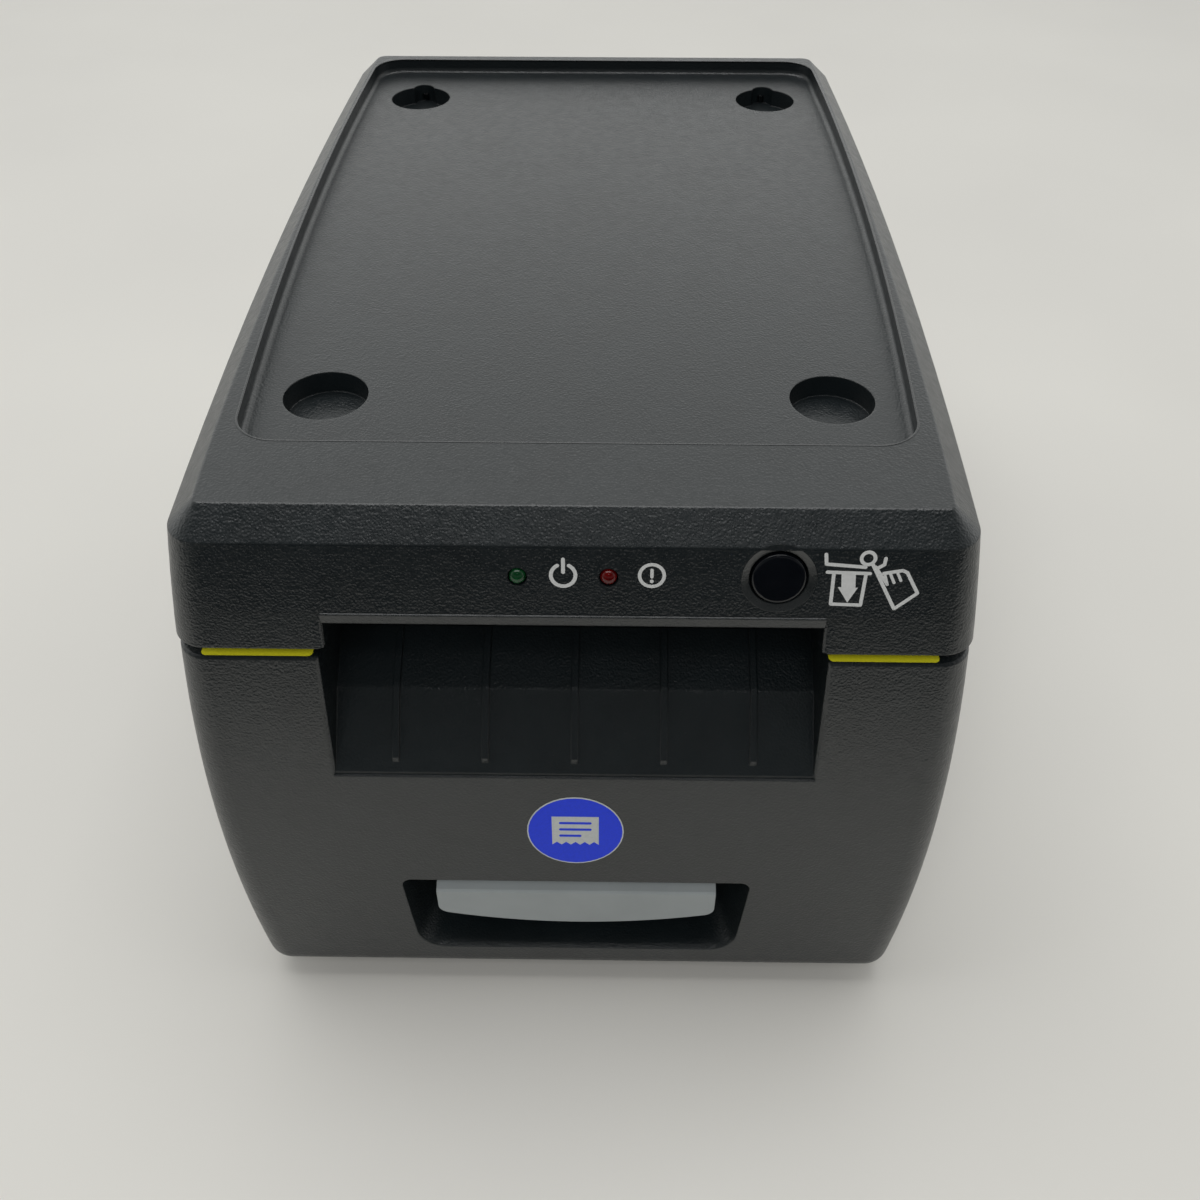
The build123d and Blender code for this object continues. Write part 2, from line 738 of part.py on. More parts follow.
def cutter_frame():
    """Block in front of the head with the slot that guides the moving blade."""
    inner = plate_inner_x - plate_thickness
    y = cutter_frame_y
    body = block((-inner, inner), y, (bridge_bottom, plate_top))
    body = body + block((-42.6, 42.6), y, (bridge_bottom - 1.2, bridge_bottom))
    slot_x = blade_half_width + 0.2
    body = body - block((-slot_x, slot_x), blade_slot_y(), (90, plate_top + 1))
    body = body - rod("Y", 1.6, (blade_rear_y, y[1] + 1), (cutter_pinion_x, cutter_pinion_height))
    return body - block((-20, 20), (y[0] - 1, y[0] + 1.4), (97, 106))


def rack_outline():
    """Outline of the moving blade in XZ: a rack climbs the edge beside the pinion."""
    pitch = pi * cutter_module
    pitch_x = cutter_pinion_x + cutter_module * cutter_teeth / 2 + gear_backlash
    tip_x = pitch_x - 0.8 * cutter_module
    root_x = pitch_x + 1.2 * cutter_module
    lean = tan(radians(20))
    tip_half = pitch / 4 - lean * 0.8 * cutter_module - 0.02
    root_half = pitch / 4 + lean * 1.2 * cutter_module - 0.02
    points = [(-blade_half_width, blade_rest_height), (blade_half_width, blade_rest_height + blade_slant)]
    points += [(blade_half_width, blade_top), (root_x, blade_top)]
    for k in reversed(range(-1, int(blade_travel / pitch) + 2)):
        centre = cutter_pinion_height + pitch * k
        points += [(root_x, centre + root_half), (tip_x, centre + tip_half)]
        points += [(tip_x, centre - tip_half), (root_x, centre - root_half)]
    foot = cutter_pinion_height - cutter_module * (cutter_teeth / 2 + 1.6)
    return points + [(root_x, foot), (-blade_half_width, foot)]


def moving_blade():
    """Guillotine blade with a slanted edge and a rack."""
    return prism_y(rack_outline(), (blade_front_y, blade_rear_y))


def cutter_pinion():
    """Small gear in the blade's slot, on the cutter motor's shaft."""
    profile = gear_outline(cutter_module, cutter_teeth, 180 / cutter_teeth)
    face = Plane(origin=(cutter_pinion_x, blade_rear_y - 0.1, cutter_pinion_height),
                 x_dir=(1, 0, 0), z_dir=(0, -1, 0)) * profile
    gear = extrude(face, amount=blade_thickness - 0.2)
    shaft = rod("Y", 1.0, (blade_rear_y - 0.5, cutter_frame_y[1] + 6), (cutter_pinion_x, cutter_pinion_height))
    return gear + shaft


def cutter_motor():
    """Small gear motor behind the cutter frame."""
    y, x, z = cutter_frame_y[1], cutter_pinion_x, cutter_pinion_height
    gearbox = block((x - 6, x + 6), (y, y + 9), (z - 5, z + 5))
    can = rod("Y", 5.6, (y + 9, y + 24), (x, z)) & block((x - 6, x + 6), (y + 8, y + 25), (z - 5, z + 5))
    return gearbox + can - rod("Y", 1.0 + shaft_clearance, (y - 1, y + 7), (x, z))


# ================================================================ gears
def gear_outline(module, teeth, phase):
    """Involute-like spur gear profile in the XY plane, one tooth centred at phase degrees."""
    pitch_r = module * teeth / 2
    base_r = pitch_r * cos(radians(20))
    tip_r = pitch_r + 0.85 * module
    root_r = pitch_r - 1.15 * module
    involute_at_pitch = tan(radians(20)) - radians(20)

    def half_angle(r):
        if r <= base_r:
            roll = 0.0
        else:
            angle = acos(base_r / r)
            roll = tan(angle) - angle
        return pi / (2 * teeth) * 0.94 + involute_at_pitch - roll

    radii = [root_r, pitch_r, tip_r]
    points = []
    for k in range(teeth):
        centre = radians(phase) + 2 * pi * k / teeth
        for r in radii:
            points.append((r * cos(centre - half_angle(r)), r * sin(centre - half_angle(r))))
        for r in reversed(radii):
            points.append((r * cos(centre + half_angle(r)), r * sin(centre + half_angle(r))))
    return make_face(Polyline(*points, close=True))


def spur_gear(module, teeth, x, at, bore, phase):
    """Gear with its axis along X, between two values of X, at a place in YZ."""
    plane = Plane(origin=(x[0], at[0], at[1]), x_dir=(0, 1, 0), z_dir=(1, 0, 0))
    gear = extrude(plane * gear_outline(module, teeth, phase), amount=x[1] - x[0])
    return gear - rod("X", bore, (x[0] - 1, x[1] + 1), at)


def meshed_place(place, direction, teeth_a, teeth_b):
    """Centre of the gear that meshes with one at place, in a direction in YZ."""
    reach = gear_module * (teeth_a + teeth_b) / 2 + gear_backlash
    return (place[0] + reach * cos(radians(direction)), place[1] + reach * sin(radians(direction)))


def meshed_phase(phase_a, direction, teeth_a, teeth_b):
    """Phase of the second gear, so that its gap receives the first gear's nearest tooth."""
    pitch = 360 / teeth_a
    offset = (phase_a - direction + pitch / 2) % pitch - pitch / 2
    return direction + 180 - offset * teeth_a / teeth_b + 180 / teeth_b


def idler_place():
    """Centre of the idler gear in YZ."""
    return meshed_place((platen_y, platen_height), idler_direction, platen_teeth, idler_teeth)


def motor_place():
    """Centre of the feed motor's shaft in YZ."""
    return meshed_place(idler_place(), motor_direction, idler_teeth, motor_teeth)


def platen_gear():
    """Gear on the right end of the platen shaft."""
    at = (platen_y, platen_height)
    x = (gear_inner_x, gear_outer_x)
    return spur_gear(gear_module, platen_teeth, x, at, platen_shaft_radius, idler_direction)


def idler_phase():
    """Phase of the idler gear."""
    return meshed_phase(idler_direction, idler_direction, platen_teeth, idler_teeth)


def idler_gear():
    """Idler between the motor and the platen, turning on its stud."""
    bore = idler_stud_radius + shaft_clearance
    x = (gear_inner_x + 0.2, gear_outer_x - 0.2)
    gear = spur_gear(gear_module, idler_teeth, x, idler_place(), bore, idler_phase())
    y, z = idler_place()
    hub = rod("X", 4.0, (x[1], plate_inner_x - 0.2), (y, z)) - rod("X", bore, (0, body_width), (y, z))
    for k in range(5):
        turn = radians(72 * k)
        gear = gear - rod("X", 1.9, (0, body_width), (y + 6.4 * cos(turn), z + 6.4 * sin(turn)))
    return gear + hub


def idler_stud():
    """Headed stud that the idler turns on."""
    y, z = idler_place()
    stud = rod("X", idler_stud_radius, (gear_inner_x, plate_outer_x), (y, z))
    return stud + rod("X", 3.2, (gear_inner_x - 0.8, gear_inner_x), (y, z))


def motor_pinion():
    """Pinion on the feed motor's shaft."""
    phase = meshed_phase(idler_phase(), motor_direction, idler_teeth, motor_teeth)
    x = (gear_inner_x, gear_outer_x + 0.8)
    return spur_gear(gear_module, motor_teeth, x, motor_place(), motor_shaft_radius, phase)


def motor_shaft():
    """Shaft of the feed motor."""
    end = plate_outer_x + feed_motor_length - 4
    return rod("X", motor_shaft_radius, (gear_inner_x - 0.2, end), motor_place())


def feed_motor():
    """Stepper motor on the outside of the right chassis plate."""
    y, z = motor_place()
    end = plate_outer_x + feed_motor_length
    can = rod("X", feed_motor_radius, (plate_outer_x, end), (y, z))
    rim = ShapeList(e for e in can.edges() if abs((e @ 0.5).X - end) < 0.01 and abs((e @ 0).X - end) < 0.01)
    can = chamfer(rim, 1.0)
    ear = motor_ear_reach
    flange = prism_x(((y - ear, z - 4), (y - ear, z + 4), (y - 6, z + 12), (y + 6, z + 12), (y + ear, z + 4),
                      (y + ear, z - 4), (y + 6, z - 12), (y - 6, z - 12)), (plate_outer_x, plate_outer_x + 1.0))
    bore = motor_shaft_radius + shaft_clearance
    return can + flange - rod("X", bore, (plate_outer_x - 1, end - 3), (y, z))


# ================================================================ drawer
def pocket_outline(y, shrink):
    """Rounded mouth of the pull pocket at a depth, with each side drawn in by shrink."""
    top, low = pocket_top, pocket_bottom + shrink * 0.6
    points = ((-pocket_half_bottom + shrink, low), (pocket_half_bottom - shrink, low),
              (pocket_half_top - shrink, top), (-pocket_half_top + shrink, top))
    face = make_face(Polyline(*points, close=True))
    lower = face.vertices().filter_by(lambda v: v.Y < (top + low) / 2)
    face = fillet(lower, 6.0)
    upper_corners = face.vertices().filter_by(lambda v: abs(v.Y - top) < 0.01)
    face = fillet(upper_corners, 2.0)
    return Plane(origin=(0, y, 0), x_dir=(1, 0, 0), z_dir=(0, -1, 0)) * face


def pocket_space():
    """The finger space of the pocket."""
    mouth_y = front - 1
    return loft([pocket_outline(mouth_y, 0.0), pocket_outline(pocket_rear_y, pocket_draft)])


def pocket_tub():
    """The pocket's walls before its space is cut, open at the top where the lever hangs."""
    rear = pocket_rear_y + pocket_wall
    foot, top = pocket_bottom - pocket_wall, pocket_top + 1.5
    half_foot, half_top = pocket_half_bottom + 1, pocket_half_top + pocket_wall
    return prism_y(((-half_foot, foot), (half_foot, foot), (half_top, top), (-half_top, top)), (front, rear))


def chute_path():
    """Surface of the paper chute in YZ, from the front face over the lip and back."""
    foot = (front_y(chute_foot_height, overhang), chute_foot_height)
    lip = (lip_y, lip_height)
    back = (ledge_rear_y, lip_height + (ledge_rear_y - lip_y) * tan(radians(ledge_rise)))
    return foot, lip, back


def chute_profile(rise):
    """Closed YZ profile of everything above the chute surface, raised by rise."""
    foot, lip, back = chute_path()
    slope = atan2(lip[1] - foot[1], lip[0] - foot[0])
    lift = (-rise * sin(slope), rise * cos(slope))
    start = (foot[0] - 6 * cos(slope) + lift[0], foot[1] - 6 * sin(slope) + lift[1])
    crest = (lip[0] + lift[0] * 0.6, lip[1] + rise)
    rear = (back[0] + 2, back[1] + 2 * tan(radians(ledge_rise)) + rise)
    points = (start, crest, rear, (rear[0], body_height), (start[0], body_height))
    face = make_face(Polyline(*points, close=True))
    corner = face.vertices().filter_by(lambda v: abs(v.X - crest[0]) < 0.01 and abs(v.Y - crest[1]) < 0.01)
    return fillet(corner, lip_radius)


def chute_body():
    """Solid under the chute surface, thin walled, with its two cheeks."""
    half = chute_half_width + chute_wall
    foot, lip, back = chute_path()
    under = ((foot[0] + 1.0, foot[1] - chute_wall - 2.0), (lip[0] + 0.5, lip[1] - chute_wall - 1.2),
             (back[0], back[1] - chute_wall))
    low = foot[1] - chute_wall - 2.0
    top = lower_top - 0.4
    outline = ((foot[0] - 3, low), *under, (back[0], top), (foot[0] - 3, top))
    return prism_x(outline, (-half, half))


def chute_bevel_tool():
    """Small bevel along the chute's upright edges, as a frustum that narrows inward."""
    middle = (chute_foot_height + lower_top) / 2
    lean = radians(front_lean(middle))
    origin = (0, front_y(middle, overhang), middle)
    plane = Plane(origin=origin, x_dir=(1, 0, 0), z_dir=(0, -cos(lean), sin(lean)))
    reach = (lower_top - chute_foot_height) / 2 / cos(lean)

    def mouth(half, height):
        points = ((-half, -reach), (half, -reach), (half, reach + 3), (-half, reach + 3))
        return plane * Pos(0, 0, height) * make_face(Polyline(*points, close=True))

    return loft([mouth(chute_half_width, -chute_bevel), mouth(chute_half_width + chute_bevel + 1.0, 1.0)])


def chute_ribs():
    """Raised ribs that carry the slip over the chute."""
    foot, lip, back = chute_path()
    plane = Plane(origin=(0, 0, 0), x_dir=(0, 1, 0), z_dir=(1, 0, 0))
    band = chute_profile(-0.6) - chute_profile(rib_height)
    region = block((-body_width, body_width), (foot[0] + 1.9, ledge_rear_y - 0.6), (foot[1] + 1.9, lower_top))
    ribs = []
    for k in range(rib_count):
        x = (k - (rib_count - 1) / 2) * rib_pitch
        rib = extrude(plane * band, amount=rib_width / 2, both=True) & region
        ribs.append(Pos(x, 0, 0) * rib)
    return ribs


def bucket_screw_places():
    """Screws that join the paper bucket to the drawer front, as (x, z)."""
    return [(-37.5, 16.5), (37.5, 16.5), (-30.0, 60.0), (30.0, 60.0)]


def drawer_front(outer, inner):
    """Front panel of the drawer with the ribbed chute and the pull pocket."""
    band = (-body_depth, drawer_seam_y)
    keep = cut_band(outer, band, (0, lower_top))
    shell = keep - cut_band(inner, (-body_depth, body_depth), (0, lower_top - wall))
    rear_keep = block((-body_width, body_width), (drawer_seam_y - 0.01, ledge_rear_y), (0, lower_top))
    body = chute_body()
    shell = shell + ((body & keep) + (body & rear_keep))
    shell = shell + (pocket_tub() & keep)
    for x in (-latch_ear_x, latch_ear_x):
        ear = block((x - latch_ear_thickness / 2, x + latch_ear_thickness / 2),
                    (front, lever_pivot_y + 5), (pocket_top + 0.4, lever_pivot_height + 6))
        shell = shell + (ear & keep)
    for x, z in bucket_screw_places():
        boss = rod("Y", 3.2, (front, bucket_front_y), (x, z))
        shell = shell + (boss & (keep + rear_keep))
    plane = Plane(origin=(-chute_half_width, 0, 0), x_dir=(0, 1, 0), z_dir=(1, 0, 0))
    shell = shell - extrude(plane * chute_profile(0.0), amount=2 * chute_half_width)
    shell = shell - chute_bevel_tool()
    for rib in chute_ribs():
        shell = shell + rib
    shell = shell - pocket_space()
    slot_x = lever_half_width + 0.8
    slot_front = lever_pivot_y - 6.6
    slot_z = (pocket_top - 3, pocket_top + 8)
    shell = shell - block((-slot_x, slot_x), (slot_front, pocket_rear_y), slot_z)
    bore = latch_shaft_radius + shaft_clearance
    shell = shell - rod("X", bore, (-body_width / 3.05, body_width / 3.05), (lever_pivot_y, lever_pivot_height))
    for x, z in bucket_screw_places():
        shell = shell - rod("Y", 1.2, (bucket_front_y - 8, bucket_front_y + 1), (x, z))
    return shell


def paper_bucket():
    """Roll cradle of the drawer: two side plates, a curved pan and a blade bar."""
    side, top = bucket_outer_x, bucket_side_top
    plate_line = ((bucket_front_y, bucket_foot), (bucket_rear_y, bucket_foot), (bucket_rear_y, bucket_rear_top),
                  (roll_y + 30, top - 5), (roll_y + 22, top), (bucket_front_y, top))
    plate = prism_x(plate_line, (bucket_inner_x, bucket_outer_x))
    plate = plate - rod("X", bush_radius, (0, body_width), (platen_y, platen_height))
    hub_at = (roll_y, roll_height)
    plate = plate - rod("X", hub_window_radius, (0, body_width), hub_at)
    plate = plate + rod("X", hub_radius, (bucket_inner_x, bucket_outer_x), hub_at)
    reach = hub_window_radius + 1
    for spoke in ((reach, hub_spoke_width / 2), (hub_spoke_width / 2, reach)):
        plate = plate + block((bucket_inner_x, bucket_outer_x), (roll_y - spoke[0], roll_y + spoke[0]),
                              (roll_height - spoke[1], roll_height + spoke[1]))
    inner_r = roll_diameter / 2 + bucket_clearance
    outer_r = inner_r + bucket_wall
    tube = rod("X", outer_r, (-side, side), hub_at) - rod("X", inner_r, (-side - 1, side + 1), hub_at)
    pan = tube & block((-side, side), (-body_depth, body_depth), (0, roll_height))
    front = block((-side, side), (roll_y - outer_r, roll_y - inner_r), (roll_height, cradle_front_top))
    rear = block((-side, side), (roll_y + inner_r, roll_y + outer_r), (roll_height, bucket_rear_top))
    cross = block((-side, side), (bucket_front_y, bucket_front_y + 2), (bucket_foot, cradle_front_top))
    tie = block((-side, side), (bucket_front_y, roll_y - inner_r - 0.5), (cradle_front_top - 2, cradle_front_top))
    bar_low = fixed_blade_top - fixed_blade_thickness - 7.0
    bar = block((-side, side), fixed_blade_y, (bar_low, fixed_blade_top - fixed_blade_thickness))
    whole = fuse(plate, mirror(plate, about=Plane.YZ), pan, front, rear, cross, tie, bar)
    for x, z in bucket_screw_places():
        whole = whole - rod("Y", 1.3, (bucket_front_y - 1, bucket_front_y + 3), (x, z))
    return whole


def drawer_runner(side):
    """Plastic runner on the bucket's side that slides in the rail."""
    low = rail_bottom + rail_wall + rail_clearance
    high = rail_bottom + rail_height - rail_wall - rail_clearance
    x = (bucket_outer_x, plate_inner_x - rail_wall - rail_clearance)
    runner = block(x, (bucket_front_y + 1, runner_rear_y), (low, high))
    runner = chamfer(ShapeList(e for e in runner.edges() if abs((e @ 0.5).Y - runner_rear_y) < 0.01), 0.6)
    return runner if side > 0 else mirror(runner, about=Plane.YZ)


def bucket_screws():
    """Screws through the bucket's cross wall into the drawer front."""
    one = screw(1.2, 9.0, 2.3, 1.3)
    seat = bucket_front_y + 2
    return Compound(children=[Pos(x, seat, z) * Rot(-90, 0, 0) * one for x, z in bucket_screw_places()])


def fixed_blade():
    """Steel strip with the cutter's fixed edge."""
    x = bucket_inner_x - 0.1
    return block((-x, x), fixed_blade_y, (fixed_blade_top - fixed_blade_thickness, fixed_blade_top))


def platen_shaft():
    """Steel shaft of the platen roller."""
    x = (-bucket_outer_x - 1.6, gear_outer_x + 0.6)
    return rod("X", platen_shaft_radius, x, (platen_y, platen_height))


def platen_rubber():
    """Rubber sleeve of the platen roller."""
    x = (-platen_half_length, platen_half_length)
    at = (platen_y, platen_height)
    return rod("X", platen_radius, x, at) - rod("X", platen_shaft_radius, (x[0] - 1, x[1] + 1), at)


def platen_bush(side):
    """Flanged bush in the bucket's side plate."""
    at = (platen_y, platen_height)
    bush = rod("X", bush_radius, (bucket_inner_x, bucket_outer_x), at)
    bush = bush + rod("X", bush_flange_radius, (bucket_outer_x, bucket_outer_x + 0.9), at)
    bush = bush - rod("X", platen_shaft_radius + shaft_clearance, (0, body_width), at)
    return bush if side > 0 else mirror(bush, about=Plane.YZ)


# ================================================================ release lever
def lever_profile():
    """Side profile of the lever in YZ: hub web, shelf and finger plate."""
    web_y = (lever_pivot_y - 5.2, lever_pivot_y - 2.9)
    face_y = lever_pivot_y - 8.9
    back_y = face_y + lever_thickness
    points = ((web_y[1], lever_pivot_height), (web_y[0], lever_pivot_height - 1.0), (web_y[0], 35.2),
              (face_y + 0.4, 33.7), (face_y, 33.2), (face_y, lever_tip_height), (back_y, lever_tip_height),
              (back_y, 32.2), (web_y[1], 33.8))
    return make_face(Polyline(*points, close=True))


def release_lever():
    """Grey pull lever with a bowed lower edge, moulded round its shaft."""
    plane = Plane(origin=(-lever_half_width, 0, 0), x_dir=(0, 1, 0), z_dir=(1, 0, 0))
    lever = extrude(plane * lever_profile(), amount=2 * lever_half_width)
    sag = lever_corner_height - lever_tip_height
    sole_radius = (lever_half_width ** 2 + sag ** 2) / (2 * sag)
    end = (lever_half_width + 1, lever_corner_height)
    keep_line = ThreePointArc((-end[0], end[1]), (0, lever_tip_height), end)
    keep_line = keep_line + Polyline(end, (end[0], 50), (-end[0], 50), (-end[0], end[1]))
    behind = Plane(origin=(0, lever_pivot_y + 8, 0), x_dir=(1, 0, 0), z_dir=(0, -1, 0))
    keep = extrude(behind * make_face(keep_line), amount=30)
    lever = lever & keep
    hub = rod("X", lever_hub_radius, (-lever_half_width, lever_half_width), (lever_pivot_y, lever_pivot_height))
    lever = lever + hub - rod("X", latch_shaft_radius, (-body_width, body_width), (lever_pivot_y, lever_pivot_height))
    corners = ShapeList(e for e in lever.edges() if abs((e @ 0.5).Z - lever_corner_height) < 1.2
                        and abs((e @ 0).Y - (e @ 1).Y) > lever_thickness * 0.8)
    return fillet(corners, 2.5) if len(corners) == 2 else lever


def latch_shaft():
    """Shaft that ties the lever to both hooks."""
    x = (-latch_shaft_half, latch_shaft_half)
    return rod("X", latch_shaft_radius, x, (lever_pivot_y, lever_pivot_height))


def latch_hook(side):
    """Hook plate at an end of the latch shaft."""
    y, z = lever_pivot_y, lever_pivot_height
    x = (hook_x - hook_thickness / 2, hook_x + hook_thickness / 2)
    top = z + latch_shaft_radius - 2.0
    tip, nose = y + hook_reach, top + hook_nose_height
    arm = ((y, z - 3.4), (tip, z - 4.4), (tip, top), (tip - 0.6, nose), (tip - 2.6, nose), (tip - 2.6, top - 0.6),
           (y, top + 1.2))
    hook = prism_x(arm, x) + rod("X", 4.0, x, (y, z))
    hook = hook - rod("X", latch_shaft_radius, (0, body_width), (y, z))
    return hook if side > 0 else mirror(hook, about=Plane.YZ)


# ================================================================ control panel pieces
def control_board():
    """Small board behind the control panel."""
    plane = face_plane(board_x, panel_row_height)
    middle = (board_low + board_high) / 2
    board = plane * Pos(0, middle, -board_depth - board_thickness / 2) * Box(
        2 * board_half_length, board_high - board_low, board_thickness)
    for x in control_screw_places():
        board = board - face_rod(x, 1.0, (-board_depth - 3, -board_depth + 1))
    return board


def panel_led(x):
    """Round lamp on the control board that shows through the panel."""
    body = face_rod(x, led_radius, (-board_depth, led_stand_out - led_radius * 0.8))
    dome = face_plane(x, panel_row_height) * Pos(0, 0, led_stand_out - led_radius * 0.8) * Sphere(led_radius)
    cap = face_plane(x, panel_row_height) * Pos(0, 0, 10 + led_stand_out - led_radius * 0.8) * Box(10, 10, 20)
    rim = face_rod(x, led_radius + 0.4, (-board_depth, -board_depth + 1.0))
    return body + (dome & cap) + rim


def feed_button():
    """Round push button, held behind the panel by an ear on each side."""
    cap = face_rod(button_x, button_radius, (-wall - 0.5, button_stand_out))
    plane = face_plane(button_x, panel_row_height)
    rim = ShapeList(e for e in cap.edges() if abs(plane.to_local_coords(e @ 0).Z - button_stand_out) < 0.01)
    cap = fillet(rim, button_rounding)
    flange_top = -wall - 0.25
    flange = face_rod(button_x, button_flange_radius, (flange_top - button_flange_thickness, flange_top))
    ears = flange & (plane * Box(3 * button_flange_radius, 2 * button_radius - 0.4, 2 * board_depth))
    return cap + ears


def switch_plunger():
    """Plunger of the feed switch, under the button."""
    top = -wall - 0.25 - button_flange_thickness
    return face_rod(button_x, plunger_radius, (-board_depth + 0.4 + button_travel, top))


def feed_switch():
    """Push switch on the control board under the feed button."""
    depth = (-board_depth, -board_depth + 3.6)
    plane = face_plane(button_x, panel_row_height)
    body = plane * Pos(0, 0, (depth[0] + depth[1]) / 2) * Box(6, 6, depth[1] - depth[0])
    return body - face_rod(button_x, plunger_radius + shaft_clearance, (-board_depth + 0.2, 0))


def control_board_screws():
    """Two screws through the control board into the cover's pillars."""
    one = screw(1.0, 5.0, 2.0, 1.1)
    seat = -board_depth - board_thickness
    seats = [face_plane(x, panel_row_height) * Pos(0, 0, seat) for x in control_screw_places()]
    return Compound(children=[place * Rot(180, 0, 0) * one for place in seats])


def tray_screw():
    """Small screw in the floor of the front left foot cup."""
    x, y = tray_screw_place()
    seat = tray_floor - cup_depth - tray_screw_sink
    return Pos(x, y, seat) * screw(tray_screw_radius, 1.5, tray_screw_head_radius, tray_screw_sink - 0.2)


# ================================================================ rear electronics
def main_board():
    """Main circuit board on its standoffs."""
    board = block(main_board_x, main_board_y, (main_board_height, main_board_height + board_thickness))
    for x in (main_board_x[0] + 5, main_board_x[1] - 5):
        for y in (main_board_y[0] + 5, main_board_y[1] - 12):
            board = board - rod("Z", 1.2, (0, 40), (x, y))
    return board


def main_board_parts():
    """The larger components on the main board."""
    top = main_board_height + board_thickness
    y = main_board_y[0]
    parts = [block((-14, 0), (y + 22, y + 36), (top, top + 1.6)),
             block((-32, -24), (y + 14, y + 24), (top, top + 1.2)),
             block((16, 36), (y + 12, y + 18), (top, top + 6.0)),
             block((-30, -18), (y + 42, y + 50), (top, top + 3.0))]
    for x in (12, 24):
        parts.append(rod("Z", 4.0, (top, top + 11.0), (x, y + 36)))
    parts.append(block((24, 38), (y + 46, y + 62), (top, top + 9.0)))
    return Compound(children=parts)


def board_screws():
    """Screws that hold the main board to its standoffs."""
    one = screw(1.2, 6.0, 2.3, 1.3)
    seat = main_board_height + board_thickness
    places = [(x, y) for x in (main_board_x[0] + 5, main_board_x[1] - 5)
              for y in (main_board_y[0] + 5, main_board_y[1] - 12)]
    return Compound(children=[Pos(x, y, seat) * one for x, y in places])


def usb_socket():
    """Square USB socket at the board's rear edge."""
    top = main_board_height + board_thickness
    body = block((usb_x - 6.0, usb_x + 6.0), (bay_y - 15, bay_y + 1.0), (top, top + 11.0))
    mouth = block((usb_x - 4.3, usb_x + 4.3), (bay_y - 9, bay_y + 2), (top + 1.4, top + 9.6))
    tongue = block((usb_x - 2.8, usb_x + 2.8), (bay_y - 10, bay_y - 1.0), (top + 4.0, top + 7.0))
    return body - mouth + tongue


def dc_socket():
    """Power input socket with its centre pin."""
    top = main_board_height + board_thickness
    body = block((dc_x - 5.0, dc_x + 5.0), (bay_y - 13, bay_y + 1.0), (top, top + 11.0))
    body = body - rod("Y", 3.2, (bay_y - 8, bay_y + 2), (dc_x, top + 6.0))
    return body + rod("Y", 1.0, (bay_y - 8.5, bay_y), (dc_x, top + 6.0))


def power_switch():
    """Housing of the rocker switch in the rear bay."""
    flange = block((switch_x - 7.6, switch_x + 7.6), (bay_y, bay_y + 1.0), (switch_z - 10.6, switch_z + 10.6))
    body = block((switch_x - 6.4, switch_x + 6.4), (bay_y - 12, bay_y + 0.5), (switch_z - 9.4, switch_z + 9.4))
    hollow = block((switch_x - 5.0, switch_x + 5.0), (bay_y - 8, bay_y + 2), (switch_z - 8.0, switch_z + 8.0))
    pin = rod("X", 1.0, (switch_x - 5.2, switch_x + 5.2), (bay_y - 3.5, switch_z))
    return flange + body - hollow + pin


def power_rocker():
    """Rocker of the power switch, turning on the pin in its housing."""
    y = bay_y - 3.5
    outline = ((y - 1.5, switch_z - 6.4), (bay_y + 1.0, switch_z - 7.3), (bay_y + 0.9, switch_z),
               (bay_y + 1.0, switch_z + 7.3), (y - 1.5, switch_z + 6.4))
    rocker = prism_x(outline, (switch_x - 4.7, switch_x + 4.7))
    rocker = rocker - rod("X", 1.0 + shaft_clearance, (switch_x - 6, switch_x + 6), (y, switch_z))
    return rocker.rotate(Axis((0, y, switch_z), (1, 0, 0)), -rocker_swing / 2)


def panel_ribbon():
    """Flat cable from the control board over the print frame to the main board."""
    start = face_plane(0, panel_row_height)
    board_back = start.origin - start.z_dir * (board_depth + board_thickness)
    top = (plate_top + tray_floor - wall) / 2
    end_y = main_board_y[0] + 38
    route = FilletPolyline((board_back.Y + 0.3, board_back.Z), (board_back.Y + 4.3, top), (end_y - 8, top),
                           (end_y, top - 10), (end_y, main_board_height + board_thickness), radius=3.0)
    band = trace(route, line_width=0.6)
    return extrude(Plane(origin=(-18, 0, 0), x_dir=(0, 1, 0), z_dir=(1, 0, 0)) * band, amount=12)


